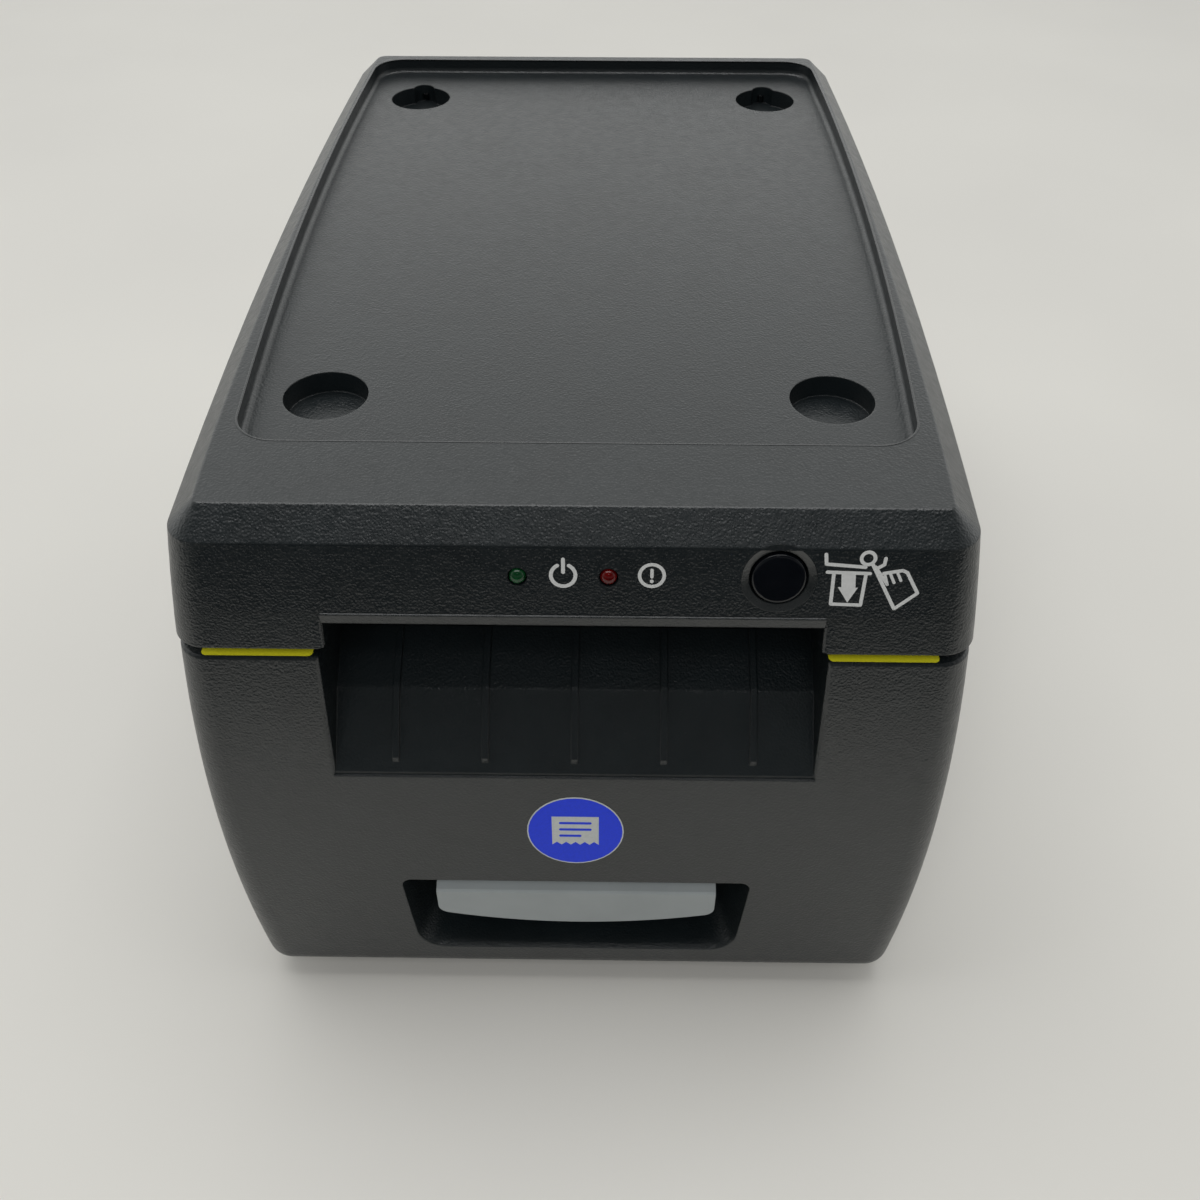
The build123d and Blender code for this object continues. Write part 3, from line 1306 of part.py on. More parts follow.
# ================================================================ build
def build_parts():
    """Every node of the assembly, by name."""
    outer, cover_inner = body_form(0.0), body_form(wall)
    lower, lower_inner = lower_form(body_form(overhang)), body_form(overhang + wall)
    return {
        "top_cover": top_cover(outer, cover_inner),
        "base_housing": base_housing(lower, lower_inner),
        "drawer_front": drawer_front(lower, lower_inner),
        "rubber_feet": rubber_feet(),
        "chassis_plate_left": chassis_plate(-1),
        "chassis_plate_right": chassis_plate(1),
        "slide_rail_left": slide_rail(-1),
        "slide_rail_right": slide_rail(1),
        "print_frame": print_frame(),
        "cover_screws": cover_screws(),
        "chassis_screws": chassis_screws(),
        "frame_screws": frame_screws(),
        "tray_screw": tray_screw(),
        "head_carrier": head_carrier(),
        "thermal_head": thermal_head(),
        "head_pivot_pin": head_pivot_pin(),
        "head_springs": head_springs(),
        "paper_sensor": paper_sensor(),
        "cutter_frame": cutter_frame(),
        "moving_blade": moving_blade(),
        "cutter_pinion": cutter_pinion(),
        "cutter_motor": cutter_motor(),
        "platen_gear": platen_gear(),
        "idler_gear": idler_gear(),
        "idler_stud": idler_stud(),
        "motor_pinion": motor_pinion(),
        "motor_shaft": motor_shaft(),
        "feed_motor": feed_motor(),
        "paper_bucket": paper_bucket(),
        "drawer_runner_left": drawer_runner(-1),
        "drawer_runner_right": drawer_runner(1),
        "bucket_screws": bucket_screws(),
        "fixed_blade": fixed_blade(),
        "platen_shaft": platen_shaft(),
        "platen_rubber": platen_rubber(),
        "platen_bush_left": platen_bush(-1),
        "platen_bush_right": platen_bush(1),
        "release_lever": release_lever(),
        "latch_shaft": latch_shaft(),
        "latch_hook_left": latch_hook(-1),
        "latch_hook_right": latch_hook(1),
        "control_board": control_board(),
        "control_board_screws": control_board_screws(),
        "power_led": panel_led(power_led_x),
        "error_led": panel_led(error_led_x),
        "feed_button": feed_button(),
        "switch_plunger": switch_plunger(),
        "feed_switch": feed_switch(),
        "panel_ribbon": panel_ribbon(),
        "main_board": main_board(),
        "main_board_parts": main_board_parts(),
        "board_screws": board_screws(),
        "usb_socket": usb_socket(),
        "dc_socket": dc_socket(),
        "power_switch": power_switch(),
        "power_rocker": power_rocker(),
    }


os.makedirs("parts", exist_ok=True)
for name, shape in build_parts().items():
    export_step(shape, f"parts/{name}.step")
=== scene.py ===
"""Looks of the receipt printer with a scanner tray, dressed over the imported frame. Metres."""
from math import asin, atan2, cos, pi, radians, sin

import bmesh
import bpy
from mathutils import Matrix, Vector


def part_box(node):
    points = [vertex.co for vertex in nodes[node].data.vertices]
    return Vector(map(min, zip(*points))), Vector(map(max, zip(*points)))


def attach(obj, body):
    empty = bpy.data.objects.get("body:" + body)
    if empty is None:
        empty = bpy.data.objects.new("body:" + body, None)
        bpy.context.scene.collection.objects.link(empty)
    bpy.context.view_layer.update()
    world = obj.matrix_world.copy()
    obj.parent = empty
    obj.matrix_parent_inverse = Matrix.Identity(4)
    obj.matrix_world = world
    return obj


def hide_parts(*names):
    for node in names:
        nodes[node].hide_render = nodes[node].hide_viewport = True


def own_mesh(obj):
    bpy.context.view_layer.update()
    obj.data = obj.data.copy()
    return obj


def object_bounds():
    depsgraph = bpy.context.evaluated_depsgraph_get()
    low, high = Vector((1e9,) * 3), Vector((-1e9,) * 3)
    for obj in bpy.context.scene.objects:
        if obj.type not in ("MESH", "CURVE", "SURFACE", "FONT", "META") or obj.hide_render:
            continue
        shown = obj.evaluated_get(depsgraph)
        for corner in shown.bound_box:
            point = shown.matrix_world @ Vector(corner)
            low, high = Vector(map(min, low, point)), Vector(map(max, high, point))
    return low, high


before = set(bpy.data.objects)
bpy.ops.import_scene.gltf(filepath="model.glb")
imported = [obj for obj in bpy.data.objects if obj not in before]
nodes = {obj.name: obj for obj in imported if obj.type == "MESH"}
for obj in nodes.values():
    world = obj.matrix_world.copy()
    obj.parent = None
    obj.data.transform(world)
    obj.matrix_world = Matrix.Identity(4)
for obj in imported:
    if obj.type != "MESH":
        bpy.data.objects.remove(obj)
cad_low, cad_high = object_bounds()
MM = 0.001

# ---------------------------------------------------------------- camera
CAMERA_PLACE = Vector((6.585, -255.88, 247.58)) * MM
CAMERA_YAW = radians(-0.702)
CAMERA_PITCH = radians(43.281)      # downward
CAMERA_ROLL = radians(-0.092)
LENS = 36.0
SENSOR = 36.0

# ---------------------------------------------------------------- places on the cover and the drawer
FACE_RADIUS = 400.0 * MM            # bowed front of the cover, in side view
FACE_CENTRE_Y = 282.0 * MM
FACE_CENTRE_Z = 12.0 * MM
DRAWER_INSET = 0.5 * MM             # the drawer's front lies this much behind the cover's
PANEL_ROW = 111.2 * MM              # height of the lamps and the button
SIGN_RISE = 0.5 * MM                # the signs stand a little higher up the face
PANEL_FOOT = 104.0 * MM
PANEL_TOP = 116.5 * MM
PANEL_LEFT = -63.5 * MM
PANEL_RIGHT = 62.3 * MM
PANEL_CORNER = 4.6 * MM
PANEL_FILM = 0.10 * MM
LAMP_X = (-9.3 * MM, 6.2 * MM)
LAMP_HOLE = 1.75 * MM
POWER_SIGN_X = -1.5 * MM
ALERT_SIGN_X = 13.5 * MM
SIGN_RADIUS = 2.08 * MM
SIGN_STROKE = 0.66 * MM
BUTTON_X = 35.0 * MM
DISH_RADIUS = 6.5 * MM
RING_INNER = 5.0 * MM               # shallow ring between the button and the panel
RING_DEPTH = 0.5 * MM
RING_STEPS = 96                     # steps round it
TRAY_HALF_WIDTH = 65.6 * MM         # plan of the tray recess
TRAY_BOW = 1414.0 * MM              # radius of its long sides
TRAY_WIDEST_Y = 23.4 * MM
TRAY_FRONT_Y = -80.4 * MM
TRAY_REAR_Y = 110.0 * MM
TRAY_CORNER = 8.0 * MM
BAND_TOP = 103.9 * MM               # band along the paper notch's upper edge
BAND_FOOT = 101.85 * MM
BAND_HALF_WIDTH = 43.75 * MM
BAND_LEAN = 0.03 * MM               # how far its upper edge stands out from its lower edge
LEG_TOP = BAND_FOOT + 0.6 * MM      # upper and lower ends of the notch's side edges
LEG_FOOT = 96.9 * MM
BADGE_PLACE = (0.1 * MM, 52.8 * MM)
BADGE_RADIUS = 9.5 * MM
SHOULDER_TOP = 94.3 * MM            # shoulders of the drawer's front, and the labels on them
LABEL_FRONT = -108.4 * MM
LABEL_REAR = -98.5 * MM
LABEL_CORNER = 0.9 * MM
LABEL_ENDS = {"left": (-66.2 * MM, -46.3 * MM), "right": (45.3 * MM, 64.9 * MM)}
SUNK = -0.01 * MM                   # underside of a film or label, just below the surface
INK_LIFT = 0.03 * MM
LABEL_LIFT = 0.09 * MM
END_STEPS = 8                       # steps round the half circle at a stroke's end

# ---------------------------------------------------------------- sections of the edges, in millimetres
LEG_SECTION = ((45.5, -0.02), (45.2, 0.015), (44.05, 0.015), (43.75, -0.25), (43.95, -1.2), (45.1, -0.25))
TRAY_EDGE_SECTION = ((-0.02, -0.35), (-0.06, -0.06), (0.0, 0.05), (0.14, 0.10), (0.32, 0.08), (0.46, -0.02),
                     (0.15, -0.1))

# ---------------------------------------------------------------- springs of the print head
COIL_WIRE = 0.32 * MM               # radius of the wire
COIL_TURNS = 6.5
COIL_CLOSED = 0.75                  # turns that lie flat at each end
COIL_STEPS = 30                     # points to a turn

# ---------------------------------------------------------------- table
TABLE_REACH = 3.0
TABLE_NEAR = -0.33

# ---------------------------------------------------------------- light
ROOM_REAR = 0.98                    # strengths of the room's glow
ROOM_FRONT = 0.03
ROOM_LOW = 0.13                     # soft glow just above the horizon, all round
ROOM_OVERHEAD = 0.60                # share of it that is left overhead
ROOM_BELOW = 0.08                   # and below the horizon
ROOM_SEEN = 0.9                     # backdrop, as the camera sees it
CEILING_POWER = 16.0
FILL_POWER = 12.0
GLINT_POWER = 0.16


# ================================================================ nodes for materials
class Shader:
    """A material under construction: a node tree with one Principled shader."""

    def __init__(self, name):
        self.material = bpy.data.materials.new(name)
        self.material.use_nodes = True
        self.tree = self.material.node_tree
        self.tree.nodes.clear()
        self.output = self.add("ShaderNodeOutputMaterial")
        self.principled = self.add("ShaderNodeBsdfPrincipled")
        self.link(self.principled.outputs["BSDF"], self.output.inputs["Surface"])
        self.place = self.add("ShaderNodeTexCoord").outputs["Object"]

    def add(self, kind, **settings):
        node = self.tree.nodes.new(kind)
        for key, value in settings.items():
            setattr(node, key, value)
        return node

    def link(self, source, target):
        self.tree.links.new(source, target)

    def set(self, **values):
        for key, value in values.items():
            self.principled.inputs[key.replace("_", " ")].default_value = value

    def noise(self, size, detail=2.0, roughness=0.5, stretch=None):
        """Noise whose features are about size across."""
        source = self.place
        if stretch:
            mapping = self.add("ShaderNodeMapping")
            mapping.inputs["Scale"].default_value = stretch
            self.link(source, mapping.inputs["Vector"])
            source = mapping.outputs["Vector"]
        node = self.add("ShaderNodeTexNoise")
        node.inputs["Scale"].default_value = 1.0 / size
        node.inputs["Detail"].default_value = detail
        node.inputs["Roughness"].default_value = roughness
        self.link(source, node.inputs["Vector"])
        return node.outputs["Fac"]

    def cells(self, size, feature="F1"):
        """Distance to scattered points that are about size apart."""
        node = self.add("ShaderNodeTexVoronoi", feature=feature)
        node.inputs["Scale"].default_value = 1.0 / size
        self.link(self.place, node.inputs["Vector"])
        return node.outputs["Distance"]

    def ramp(self, source, low, high, to_low=0.0, to_high=1.0):
        """Value carried from one range to another."""
        node = self.add("ShaderNodeMapRange")
        for key, value in (("From Min", low), ("From Max", high), ("To Min", to_low), ("To Max", to_high)):
            node.inputs[key].default_value = value
        self.link(source, node.inputs["Value"])
        return node.outputs["Result"]

    def math(self, operation, a, b):
        node = self.add("ShaderNodeMath", operation=operation)
        for socket, value in zip(node.inputs, (a, b)):
            if isinstance(value, (int, float)):
                socket.default_value = value
            else:
                self.link(value, socket)
        return node.outputs["Value"]

    def blend(self, factor, first, second):
        """Colour that goes from first to second with the factor."""
        node = self.add("ShaderNodeMix", data_type="RGBA")
        self.link(factor, node.inputs["Factor"])
        node.inputs["A"].default_value = (*first, 1)
        node.inputs["B"].default_value = (*second, 1)
        return node.outputs["Result"]

    def colour(self, source):
        self.link(source, self.principled.inputs["Base Color"])

    def rough(self, source):
        self.link(source, self.principled.inputs["Roughness"])

    def bump(self, height, distance, edge=0.0):
        """Relief from a height; edge is the radius that sharp edges look rounded to."""
        node = self.add("ShaderNodeBump")
        if edge:
            rounding = self.add("ShaderNodeBevel", samples=6)
            rounding.inputs["Radius"].default_value = edge
            self.link(rounding.outputs["Normal"], node.inputs["Normal"])
        node.inputs["Distance"].default_value = distance
        node.inputs["Strength"].default_value = 1.0
        self.link(height, node.inputs["Height"])
        self.link(node.outputs["Normal"], self.principled.inputs["Normal"])
        return self


def moulded(name, colour, rough=(0.42, 0.52), grain=0.42, depth=0.07, mottle=0.12, gloss=0.5, edge=0.0):
    """Moulded plastic with a pebbled grain. Grain, depth and edge are in millimetres."""
    s = Shader(name)
    tone = s.ramp(s.noise(11 * MM, 4), 0.3, 0.7)
    dark = tuple(c * (1 - mottle) for c in colour)
    light = tuple(c * (1 + mottle) for c in colour)
    s.colour(s.blend(tone, dark, light))
    s.rough(s.ramp(s.noise(2.2 * MM, 3), 0.3, 0.7, *rough))
    s.set(Specular_IOR_Level=gloss)
    pebble = s.cells(grain * MM, "SMOOTH_F1")
    leather = s.noise(grain * 2.4 * MM, 2)
    height = s.math("ADD", pebble, s.math("MULTIPLY", leather, 0.6))
    return s.bump(height, depth * MM, edge=edge * MM).material


def smooth_plastic(name, colour, rough=(0.3, 0.38)):
    """Polished or satin plastic with a faint orange-peel surface."""
    s = Shader(name)
    tone = s.ramp(s.noise(9 * MM, 3), 0.3, 0.7)
    s.colour(s.blend(tone, tuple(c * 0.93 for c in colour), tuple(c * 1.07 for c in colour)))
    s.rough(s.ramp(s.noise(4 * MM, 3), 0.3, 0.7, *rough))
    return s.bump(s.noise(0.8 * MM, 2), 0.004 * MM).material


def metal(name, colour, rough=(0.28, 0.42), brushed=None):
    """Metal with fine brushing or a rolled surface."""
    s = Shader(name)
    grain = s.noise(1.2 * MM, 4, 0.6, stretch=brushed)
    s.colour(s.blend(s.ramp(grain, 0.3, 0.7), tuple(c * 0.88 for c in colour), colour))
    s.rough(s.ramp(grain, 0.3, 0.7, *rough))
    s.set(Metallic=1.0)
    return s.bump(grain, 0.004 * MM).material


def circuit_board():
    """Green solder mask over faint copper lanes."""
    s = Shader("circuit_board")
    lanes = s.ramp(s.cells(2.4 * MM), 0.25, 0.32)
    s.colour(s.blend(lanes, (0.015, 0.10, 0.035), (0.02, 0.16, 0.055)))
    s.rough(s.ramp(s.noise(3 * MM), 0.3, 0.7, 0.25, 0.35))
    return s.bump(lanes, 0.02 * MM).material


def printed(name, colour, rough=0.45):
    """Printed ink or a coloured label with slight unevenness."""
    s = Shader(name)
    tone = s.ramp(s.noise(0.5 * MM, 3), 0.3, 0.7)
    s.colour(s.blend(tone, tuple(c * 0.90 for c in colour), colour))
    s.rough(s.ramp(s.noise(0.3 * MM), 0.3, 0.7, rough - 0.05, rough + 0.05))
    return s.bump(s.noise(0.22 * MM, 2), 0.006 * MM).material


def lamp_lens(name, deep, bright):
    """Unlit tinted lens, brighter in patches."""
    s = Shader(name)
    tone = s.ramp(s.noise(1.4 * MM, 2), 0.35, 0.65)
    s.colour(s.blend(tone, deep, bright))
    s.rough(s.ramp(s.noise(1 * MM), 0.3, 0.7, 0.05, 0.08))
    return s.bump(s.noise(0.5 * MM), 0.01 * MM).material


MATERIALS = {
    "shell": moulded("shell_plastic", (0.0075, 0.0110, 0.0125), rough=(0.29, 0.38), gloss=0.85, edge=0.45),
    "bucket": moulded("bucket_plastic", (0.035, 0.036, 0.038), grain=0.5, depth=0.01),
    "lever": moulded("lever_plastic", (0.345, 0.375, 0.38), rough=(0.40, 0.48), grain=0.4, depth=0.006,
                     mottle=0.05),
    "button": smooth_plastic("button_plastic", (0.003, 0.004, 0.006), rough=(0.14, 0.2)),
    "black_part": smooth_plastic("black_part_plastic", (0.02, 0.02, 0.021)),
    "acetal": smooth_plastic("white_acetal", (0.72, 0.70, 0.64)),
    "rubber": moulded("black_rubber", (0.022, 0.022, 0.022), rough=(0.65, 0.8), grain=0.25, depth=0.02),
    "steel": metal("plated_steel", (0.55, 0.56, 0.57), brushed=(1, 8, 1)),
    # The cutter frame is steel; its colour is painted near-black so the inside of the paper notch shows as
    # painted shade.
    "shade_dark_steel": metal("steel_painted_dark_for_shade", (0.035, 0.036, 0.038), rough=(0.45, 0.55), brushed=(8, 1, 1)),
    "ground_steel": metal("ground_steel", (0.62, 0.62, 0.62), rough=(0.16, 0.28), brushed=(1, 1, 9)),
    "screw": metal("screw_steel", (0.60, 0.60, 0.61), rough=(0.2, 0.3)),
    "aluminium": metal("aluminium", (0.66, 0.67, 0.68), rough=(0.3, 0.4), brushed=(9, 1, 1)),
    "motor": metal("motor_case", (0.30, 0.30, 0.31), rough=(0.35, 0.45)),
    "ceramic": smooth_plastic("glazed_ceramic", (0.30, 0.27, 0.24), rough=(0.12, 0.2)),
    "board": circuit_board(),
    "green_lamp": lamp_lens("green_lens", (0.003, 0.035, 0.010), (0.008, 0.085, 0.025)),
    "red_lamp": lamp_lens("red_lens", (0.06, 0.001, 0.001), (0.13, 0.003, 0.003)),
    "cable": printed("flat_cable", (0.45, 0.45, 0.47)),
    "ink": printed("pale_ink", (0.74, 0.75, 0.74)),
    "white_ink": printed("white_ink", (0.62, 0.65, 0.64)),
    "blue": printed("blue_label", (0.005, 0.045, 0.85), rough=0.5),
    "yellow": printed("yellow_label", (0.97, 0.91, 0.03)),
    "ring": moulded("bezel_plastic", (0.013, 0.016, 0.017), rough=(0.25, 0.33), grain=0.3, depth=0.03,
                    gloss=1.0),
    "film": moulded("panel_film", (0.0065, 0.010, 0.012), rough=(0.29, 0.37), depth=0.085, mottle=0.08,
                    gloss=0.75),
}

NODE_MATERIALS = {
    "shell": "top_cover base_housing drawer_front",
    "bucket": "paper_bucket drawer_runner_left drawer_runner_right",
    "lever": "release_lever",
    "button": "feed_button",
    "black_part": "main_board_parts dc_socket power_switch power_rocker paper_sensor feed_switch "
                  "switch_plunger",
    "acetal": "platen_gear idler_gear motor_pinion platen_bush_left platen_bush_right cutter_pinion",
    "rubber": "rubber_feet platen_rubber",
    "steel": "chassis_plate_left chassis_plate_right slide_rail_left slide_rail_right print_frame "
             "latch_hook_left latch_hook_right usb_socket",
    "ground_steel": "fixed_blade moving_blade platen_shaft latch_shaft head_pivot_pin idler_stud motor_shaft",
    "screw": "cover_screws chassis_screws frame_screws tray_screw bucket_screws board_screws "
             "control_board_screws head_springs",
    # cutter frame: steel painted near-black, as painted shade inside the paper notch
    "shade_dark_steel": "cutter_frame",
    "aluminium": "head_carrier",
    "motor": "feed_motor cutter_motor",
    "ceramic": "thermal_head",
    "board": "control_board main_board",
    "green_lamp": "power_led",
    "red_lamp": "error_led",
    "cable": "panel_ribbon",
}


def dress_nodes():
    """Gives every CAD node its finish."""
    for material, names in NODE_MATERIALS.items():
        for name in names.split():
            mesh = nodes[name].data
            mesh.materials.clear()
            mesh.materials.append(MATERIALS[material])


# ================================================================ pieces
def new_piece(name, mesh, material, body, smooth=False):
    """Links a mesh as a piece that rides on a body."""
    piece = bpy.data.objects.new(name, mesh)
    bpy.context.scene.collection.objects.link(piece)
    mesh.materials.append(MATERIALS[material])
    if smooth:
        for face in mesh.polygons:
            face.use_smooth = True
    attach(piece, body)
    return piece


def on_face(inset, row):
    """Mapping from a place right of the middle and up from a row to the bowed front."""
    radius = FACE_RADIUS - inset
    start = asin((row - FACE_CENTRE_Z) / radius)

    def place(x, climb, lift):
        angle = start + climb / radius
        reach = radius + lift
        return Vector((x, FACE_CENTRE_Y - reach * cos(angle), FACE_CENTRE_Z + reach * sin(angle)))

    return place


def on_level(height):
    """Mapping from a plan place to a level surface."""
    def place(x, y, lift):
        return Vector((x, y, height + lift))

    return place


def decal(name, shapes, place, material, body, low, high, strip=1.5 * MM):
    """Thin raised shapes on a surface. Each shape is a list of closed loops: its edge, then any holes.

    It lies between two heights above the surface, and is cut in strips so that it follows the bow.
    """
    mesh = bpy.data.meshes.new(name)
    whole = bmesh.new()
    for loops in shapes:
        part = bmesh.new()
        edges = []
        for loop in loops:
            corners = [part.verts.new((u, v, 0)) for u, v in loop]
            edges += [part.edges.new((a, b)) for a, b in zip(corners, corners[1:] + corners[:1])]
        bmesh.ops.triangle_fill(part, use_beauty=True, edges=edges)
        bottom = min(v.co.y for v in part.verts)
        top = max(v.co.y for v in part.verts)
        level = bottom + strip
        while level < top:
            everything = part.verts[:] + part.edges[:] + part.faces[:]
            bmesh.ops.bisect_plane(part, geom=everything, plane_co=(0, level, 0), plane_no=(0, 1, 0))
            level += strip
        bmesh.ops.recalc_face_normals(part, faces=part.faces[:])
        if part.faces and part.faces[0].normal.z < 0:
            bmesh.ops.reverse_faces(part, faces=part.faces[:])
        raised = bmesh.ops.extrude_face_region(part, geom=part.faces[:])
        for item in raised["geom"]:
            if isinstance(item, bmesh.types.BMVert):
                item.co.z = 1.0
        for vertex in part.verts:
            vertex.co = place(vertex.co.x, vertex.co.y, high if vertex.co.z > 0.5 else low)
        bmesh.ops.recalc_face_normals(part, faces=part.faces[:])
        part.to_mesh(mesh)
        part.free()
        whole.from_mesh(mesh)
    whole.to_mesh(mesh)
    whole.free()
    return new_piece(name, mesh, material, body)


def loft(name, rows, closed=False):
    """Mesh of a section carried along a path. Each row holds the section's corners at one place."""
    part = bmesh.new()
    rows = [[part.verts.new(corner) for corner in row] for row in rows]
    for first, second in zip(rows, rows[1:] + rows[:1] if closed else rows[1:]):
        for k in range(len(first)):
            after = (k + 1) % len(first)
            part.faces.new((first[k], second[k], second[after], first[after]))
    if not closed:
        part.faces.new(rows[0])
        part.faces.new(rows[-1][::-1])
    bmesh.ops.recalc_face_normals(part, faces=part.faces[:])
    mesh = bpy.data.meshes.new(name)
    part.to_mesh(mesh)
    part.free()
    return mesh


# ---------------------------------------------------------------- flat outlines
def arc(u, v, radius, angles):
    """Points of a circle at the angles."""
    return [(u + radius * cos(a), v + radius * sin(a)) for a in angles]


def circle(u, v, radius, steps=40):
    return arc(u, v, radius, [2 * pi * k / steps for k in range(steps)])


def ring(u, v, radius, stroke):
    """A ring as an edge with a hole."""
    return [circle(u, v, radius + stroke / 2), circle(u, v, radius - stroke / 2)]


def arc_stroke(u, v, radius, stroke, first, last, steps=36):
    """Part of a ring between two angles in degrees, with round ends."""
    angles = [radians(first + (last - first) * k / steps) for k in range(steps + 1)]
    outer = arc(u, v, radius + stroke / 2, angles)
    inner = arc(u, v, radius - stroke / 2, angles[::-1])
    (start_u, start_v), (end_u, end_v) = arc(u, v, radius, (angles[0], angles[-1]))
    end = cap(end_u, end_v, stroke / 2, angles[-1])
    start = cap(start_u, start_v, stroke / 2, angles[0] + pi)
    return [outer + end + inner + start]


def cap(u, v, radius, first):
    """Points inside a half circle that starts at an angle."""
    return arc(u, v, radius, [first + pi * k / END_STEPS for k in range(1, END_STEPS)])


def bar(a, b, stroke):
    """A straight stroke with round ends."""
    turn = atan2(b[1] - a[1], b[0] - a[0])
    loop = []
    for (u, v), first in ((b, turn - pi / 2), (a, turn + pi / 2)):
        loop += arc(u, v, stroke / 2, [first + pi * k / END_STEPS for k in range(END_STEPS + 1)])
    return [loop]


def strokes(points, stroke):
    """Straight strokes through a row of points."""
    return [bar(a, b, stroke) for a, b in zip(points, points[1:])]


def rounded_box(left, right, foot, top, radius, steps=8):
    """A rectangle with round corners."""
    loop = []
    for u, v, first in ((right - radius, top - radius, 0), (left + radius, top - radius, 90),
                        (left + radius, foot + radius, 180), (right - radius, foot + radius, 270)):
        loop += arc(u, v, radius, [radians(first + 90 * k / steps) for k in range(steps + 1)])
    return loop


# ---------------------------------------------------------------- control panel
def panel_film():
    """Thin film over the control panel, cut out round the lamps and the button."""
    edge = rounded_box(PANEL_LEFT, PANEL_RIGHT, face_climb(PANEL_FOOT), face_climb(PANEL_TOP), PANEL_CORNER)
    holes = [circle(x, 0, LAMP_HOLE) for x in LAMP_X] + [circle(BUTTON_X, 0, DISH_RADIUS, 64)]
    return decal("panel_film", [[edge] + holes], on_face(0, PANEL_ROW), "film", "base",
                 low=SUNK, high=PANEL_FILM, strip=1.2 * MM)


def face_climb(height, row=PANEL_ROW):
    """How far up the bowed face a height is from a row."""
    angle, start = (asin((z - FACE_CENTRE_Z) / FACE_RADIUS) for z in (height, row))
    return FACE_RADIUS * (angle - start)


def panel_signs():
    """Generic signs for power, alert and paper feed."""
    place = on_face(0, PANEL_ROW)
    low, high = PANEL_FILM + SUNK, PANEL_FILM + INK_LIFT
    gap = 28                        # degrees to each side of the power sign's bar
    power = [arc_stroke(POWER_SIGN_X, SIGN_RISE - 0.1 * MM, SIGN_RADIUS, SIGN_STROKE, 90 + gap, 450 - gap),
             bar((POWER_SIGN_X, SIGN_RISE + 0.5 * MM), (POWER_SIGN_X, SIGN_RISE + 2.9 * MM), SIGN_STROKE)]
    decal("power_sign", power, place, "ink", "base", low, high)
    alert = [ring(ALERT_SIGN_X, SIGN_RISE, SIGN_RADIUS, 0.60 * MM),
             bar((ALERT_SIGN_X, SIGN_RISE + 1.05 * MM), (ALERT_SIGN_X, SIGN_RISE - 0.25 * MM), 0.56 * MM),
             [circle(ALERT_SIGN_X, SIGN_RISE - 1.1 * MM, 0.33 * MM, 20)]]
    decal("alert_sign", alert, place, "ink", "base", low, high)
    decal("feed_sign", feed_sign(), place, "ink", "base", low, high)


def feed_sign():
    """Pictogram: a slip with an arrow below a panel line, and a finger on a button."""
    stroke, fine = 0.62 * MM, 0.5 * MM

    def spots(*places):
        """Places right of the middle and above the ground, given in millimetres."""
        return [(x * MM, face_climb(z * MM)) for x, z in places]

    line = strokes(spots((42.5, 115.85), (42.7, 114.1), (49.3, 113.6)), stroke)
    line += strokes(spots((52.5, 115.2), (52.4, 114.1), (51.4, 113.5)), stroke)
    slip = strokes(spots((43.0, 112.65), (50.2, 112.45)), stroke)
    slip += strokes(spots((44.1, 112.4), (44.1, 106.7), (49.2, 106.55), (49.5, 112.3)), stroke)
    arrow = spots((45.4, 112.3), (45.6, 109.9), (45.0, 109.9), (46.9, 107.0), (48.4, 109.8), (48.0, 109.8),
                  (47.8, 112.3))
    button = ring(*spots((49.6, 115.2))[0], 1.15 * MM, stroke)
    hand = strokes(spots((50.4, 114.2), (55.0, 105.9), (58.6, 108.9), (56.4, 112.7), (55.6, 113.05),
                         (52.5, 112.5)), stroke)
    hand += strokes(spots((51.0, 113.7), (53.3, 110.4), (52.7, 112.2)), fine)
    for x, z in ((54.4, 110.8), (55.5, 111.2)):
        hand += strokes(spots((x, z), (x - 0.8, z + 1.6)), fine)
    return line + slip + [[arrow], button] + hand


def notch_band():
    """Upright band along the upper edge of the paper notch, between the tilted panel and the opening."""
    place, steps = on_face(0, BAND_FOOT), 24
    front, step = place(0, 0.45 * MM, 0).y, place(0, BAND_TOP - BAND_FOOT, 0).y
    section = ((front, BAND_FOOT), (front - BAND_LEAN, BAND_TOP - 0.05 * MM),
               (step + 0.2 * MM, BAND_TOP + 0.15 * MM), (step + 0.9 * MM, BAND_TOP - 0.5 * MM),
               (front + 0.75 * MM, BAND_FOOT - 0.2 * MM))
    rows = [[(BAND_HALF_WIDTH * (2 * k / steps - 1), y, z) for y, z in section] for k in range(steps + 1)]
    new_piece("notch_band", loft("notch_band", rows), "shell", "base")


def notch_edges():
    """Rounded edges down the two sides of the paper notch."""
    place, steps = on_face(0, BAND_FOOT), 6
    heights = [LEG_TOP - (LEG_TOP - LEG_FOOT) * k / steps for k in range(steps + 1)]
    for name, side in (("notch_edge_left", -1), ("notch_edge_right", 1)):
        rows = [[place(side * x * MM, face_climb(height, BAND_FOOT), lift * MM) for x, lift in LEG_SECTION]
                for height in heights]
        new_piece(name, loft(name, rows), "film", "base")


def button_ring():
    """Shallow dished ring round the button, thicker than it shows."""
    place = on_face(0, PANEL_ROW)
    underside = -0.6 * MM - RING_DEPTH
    section = ((DISH_RADIUS + 0.05 * MM, 0.02 * MM), (DISH_RADIUS - 0.15 * MM, 0.05 * MM),
               (RING_INNER + 0.12 * MM, 0.10 * MM - RING_DEPTH), (RING_INNER, -0.05 * MM - RING_DEPTH),
               (RING_INNER, underside), (RING_INNER + 0.3 * MM, underside),
               (DISH_RADIUS - 0.1 * MM, -0.35 * MM))
    rows = []
    for k in range(RING_STEPS):
        angle = 2 * pi * k / RING_STEPS
        rows.append([place(BUTTON_X + r * cos(angle), r * sin(angle), lift) for r, lift in section])
    new_piece("button_ring", loft("button_ring", rows, closed=True), "ring", "base")


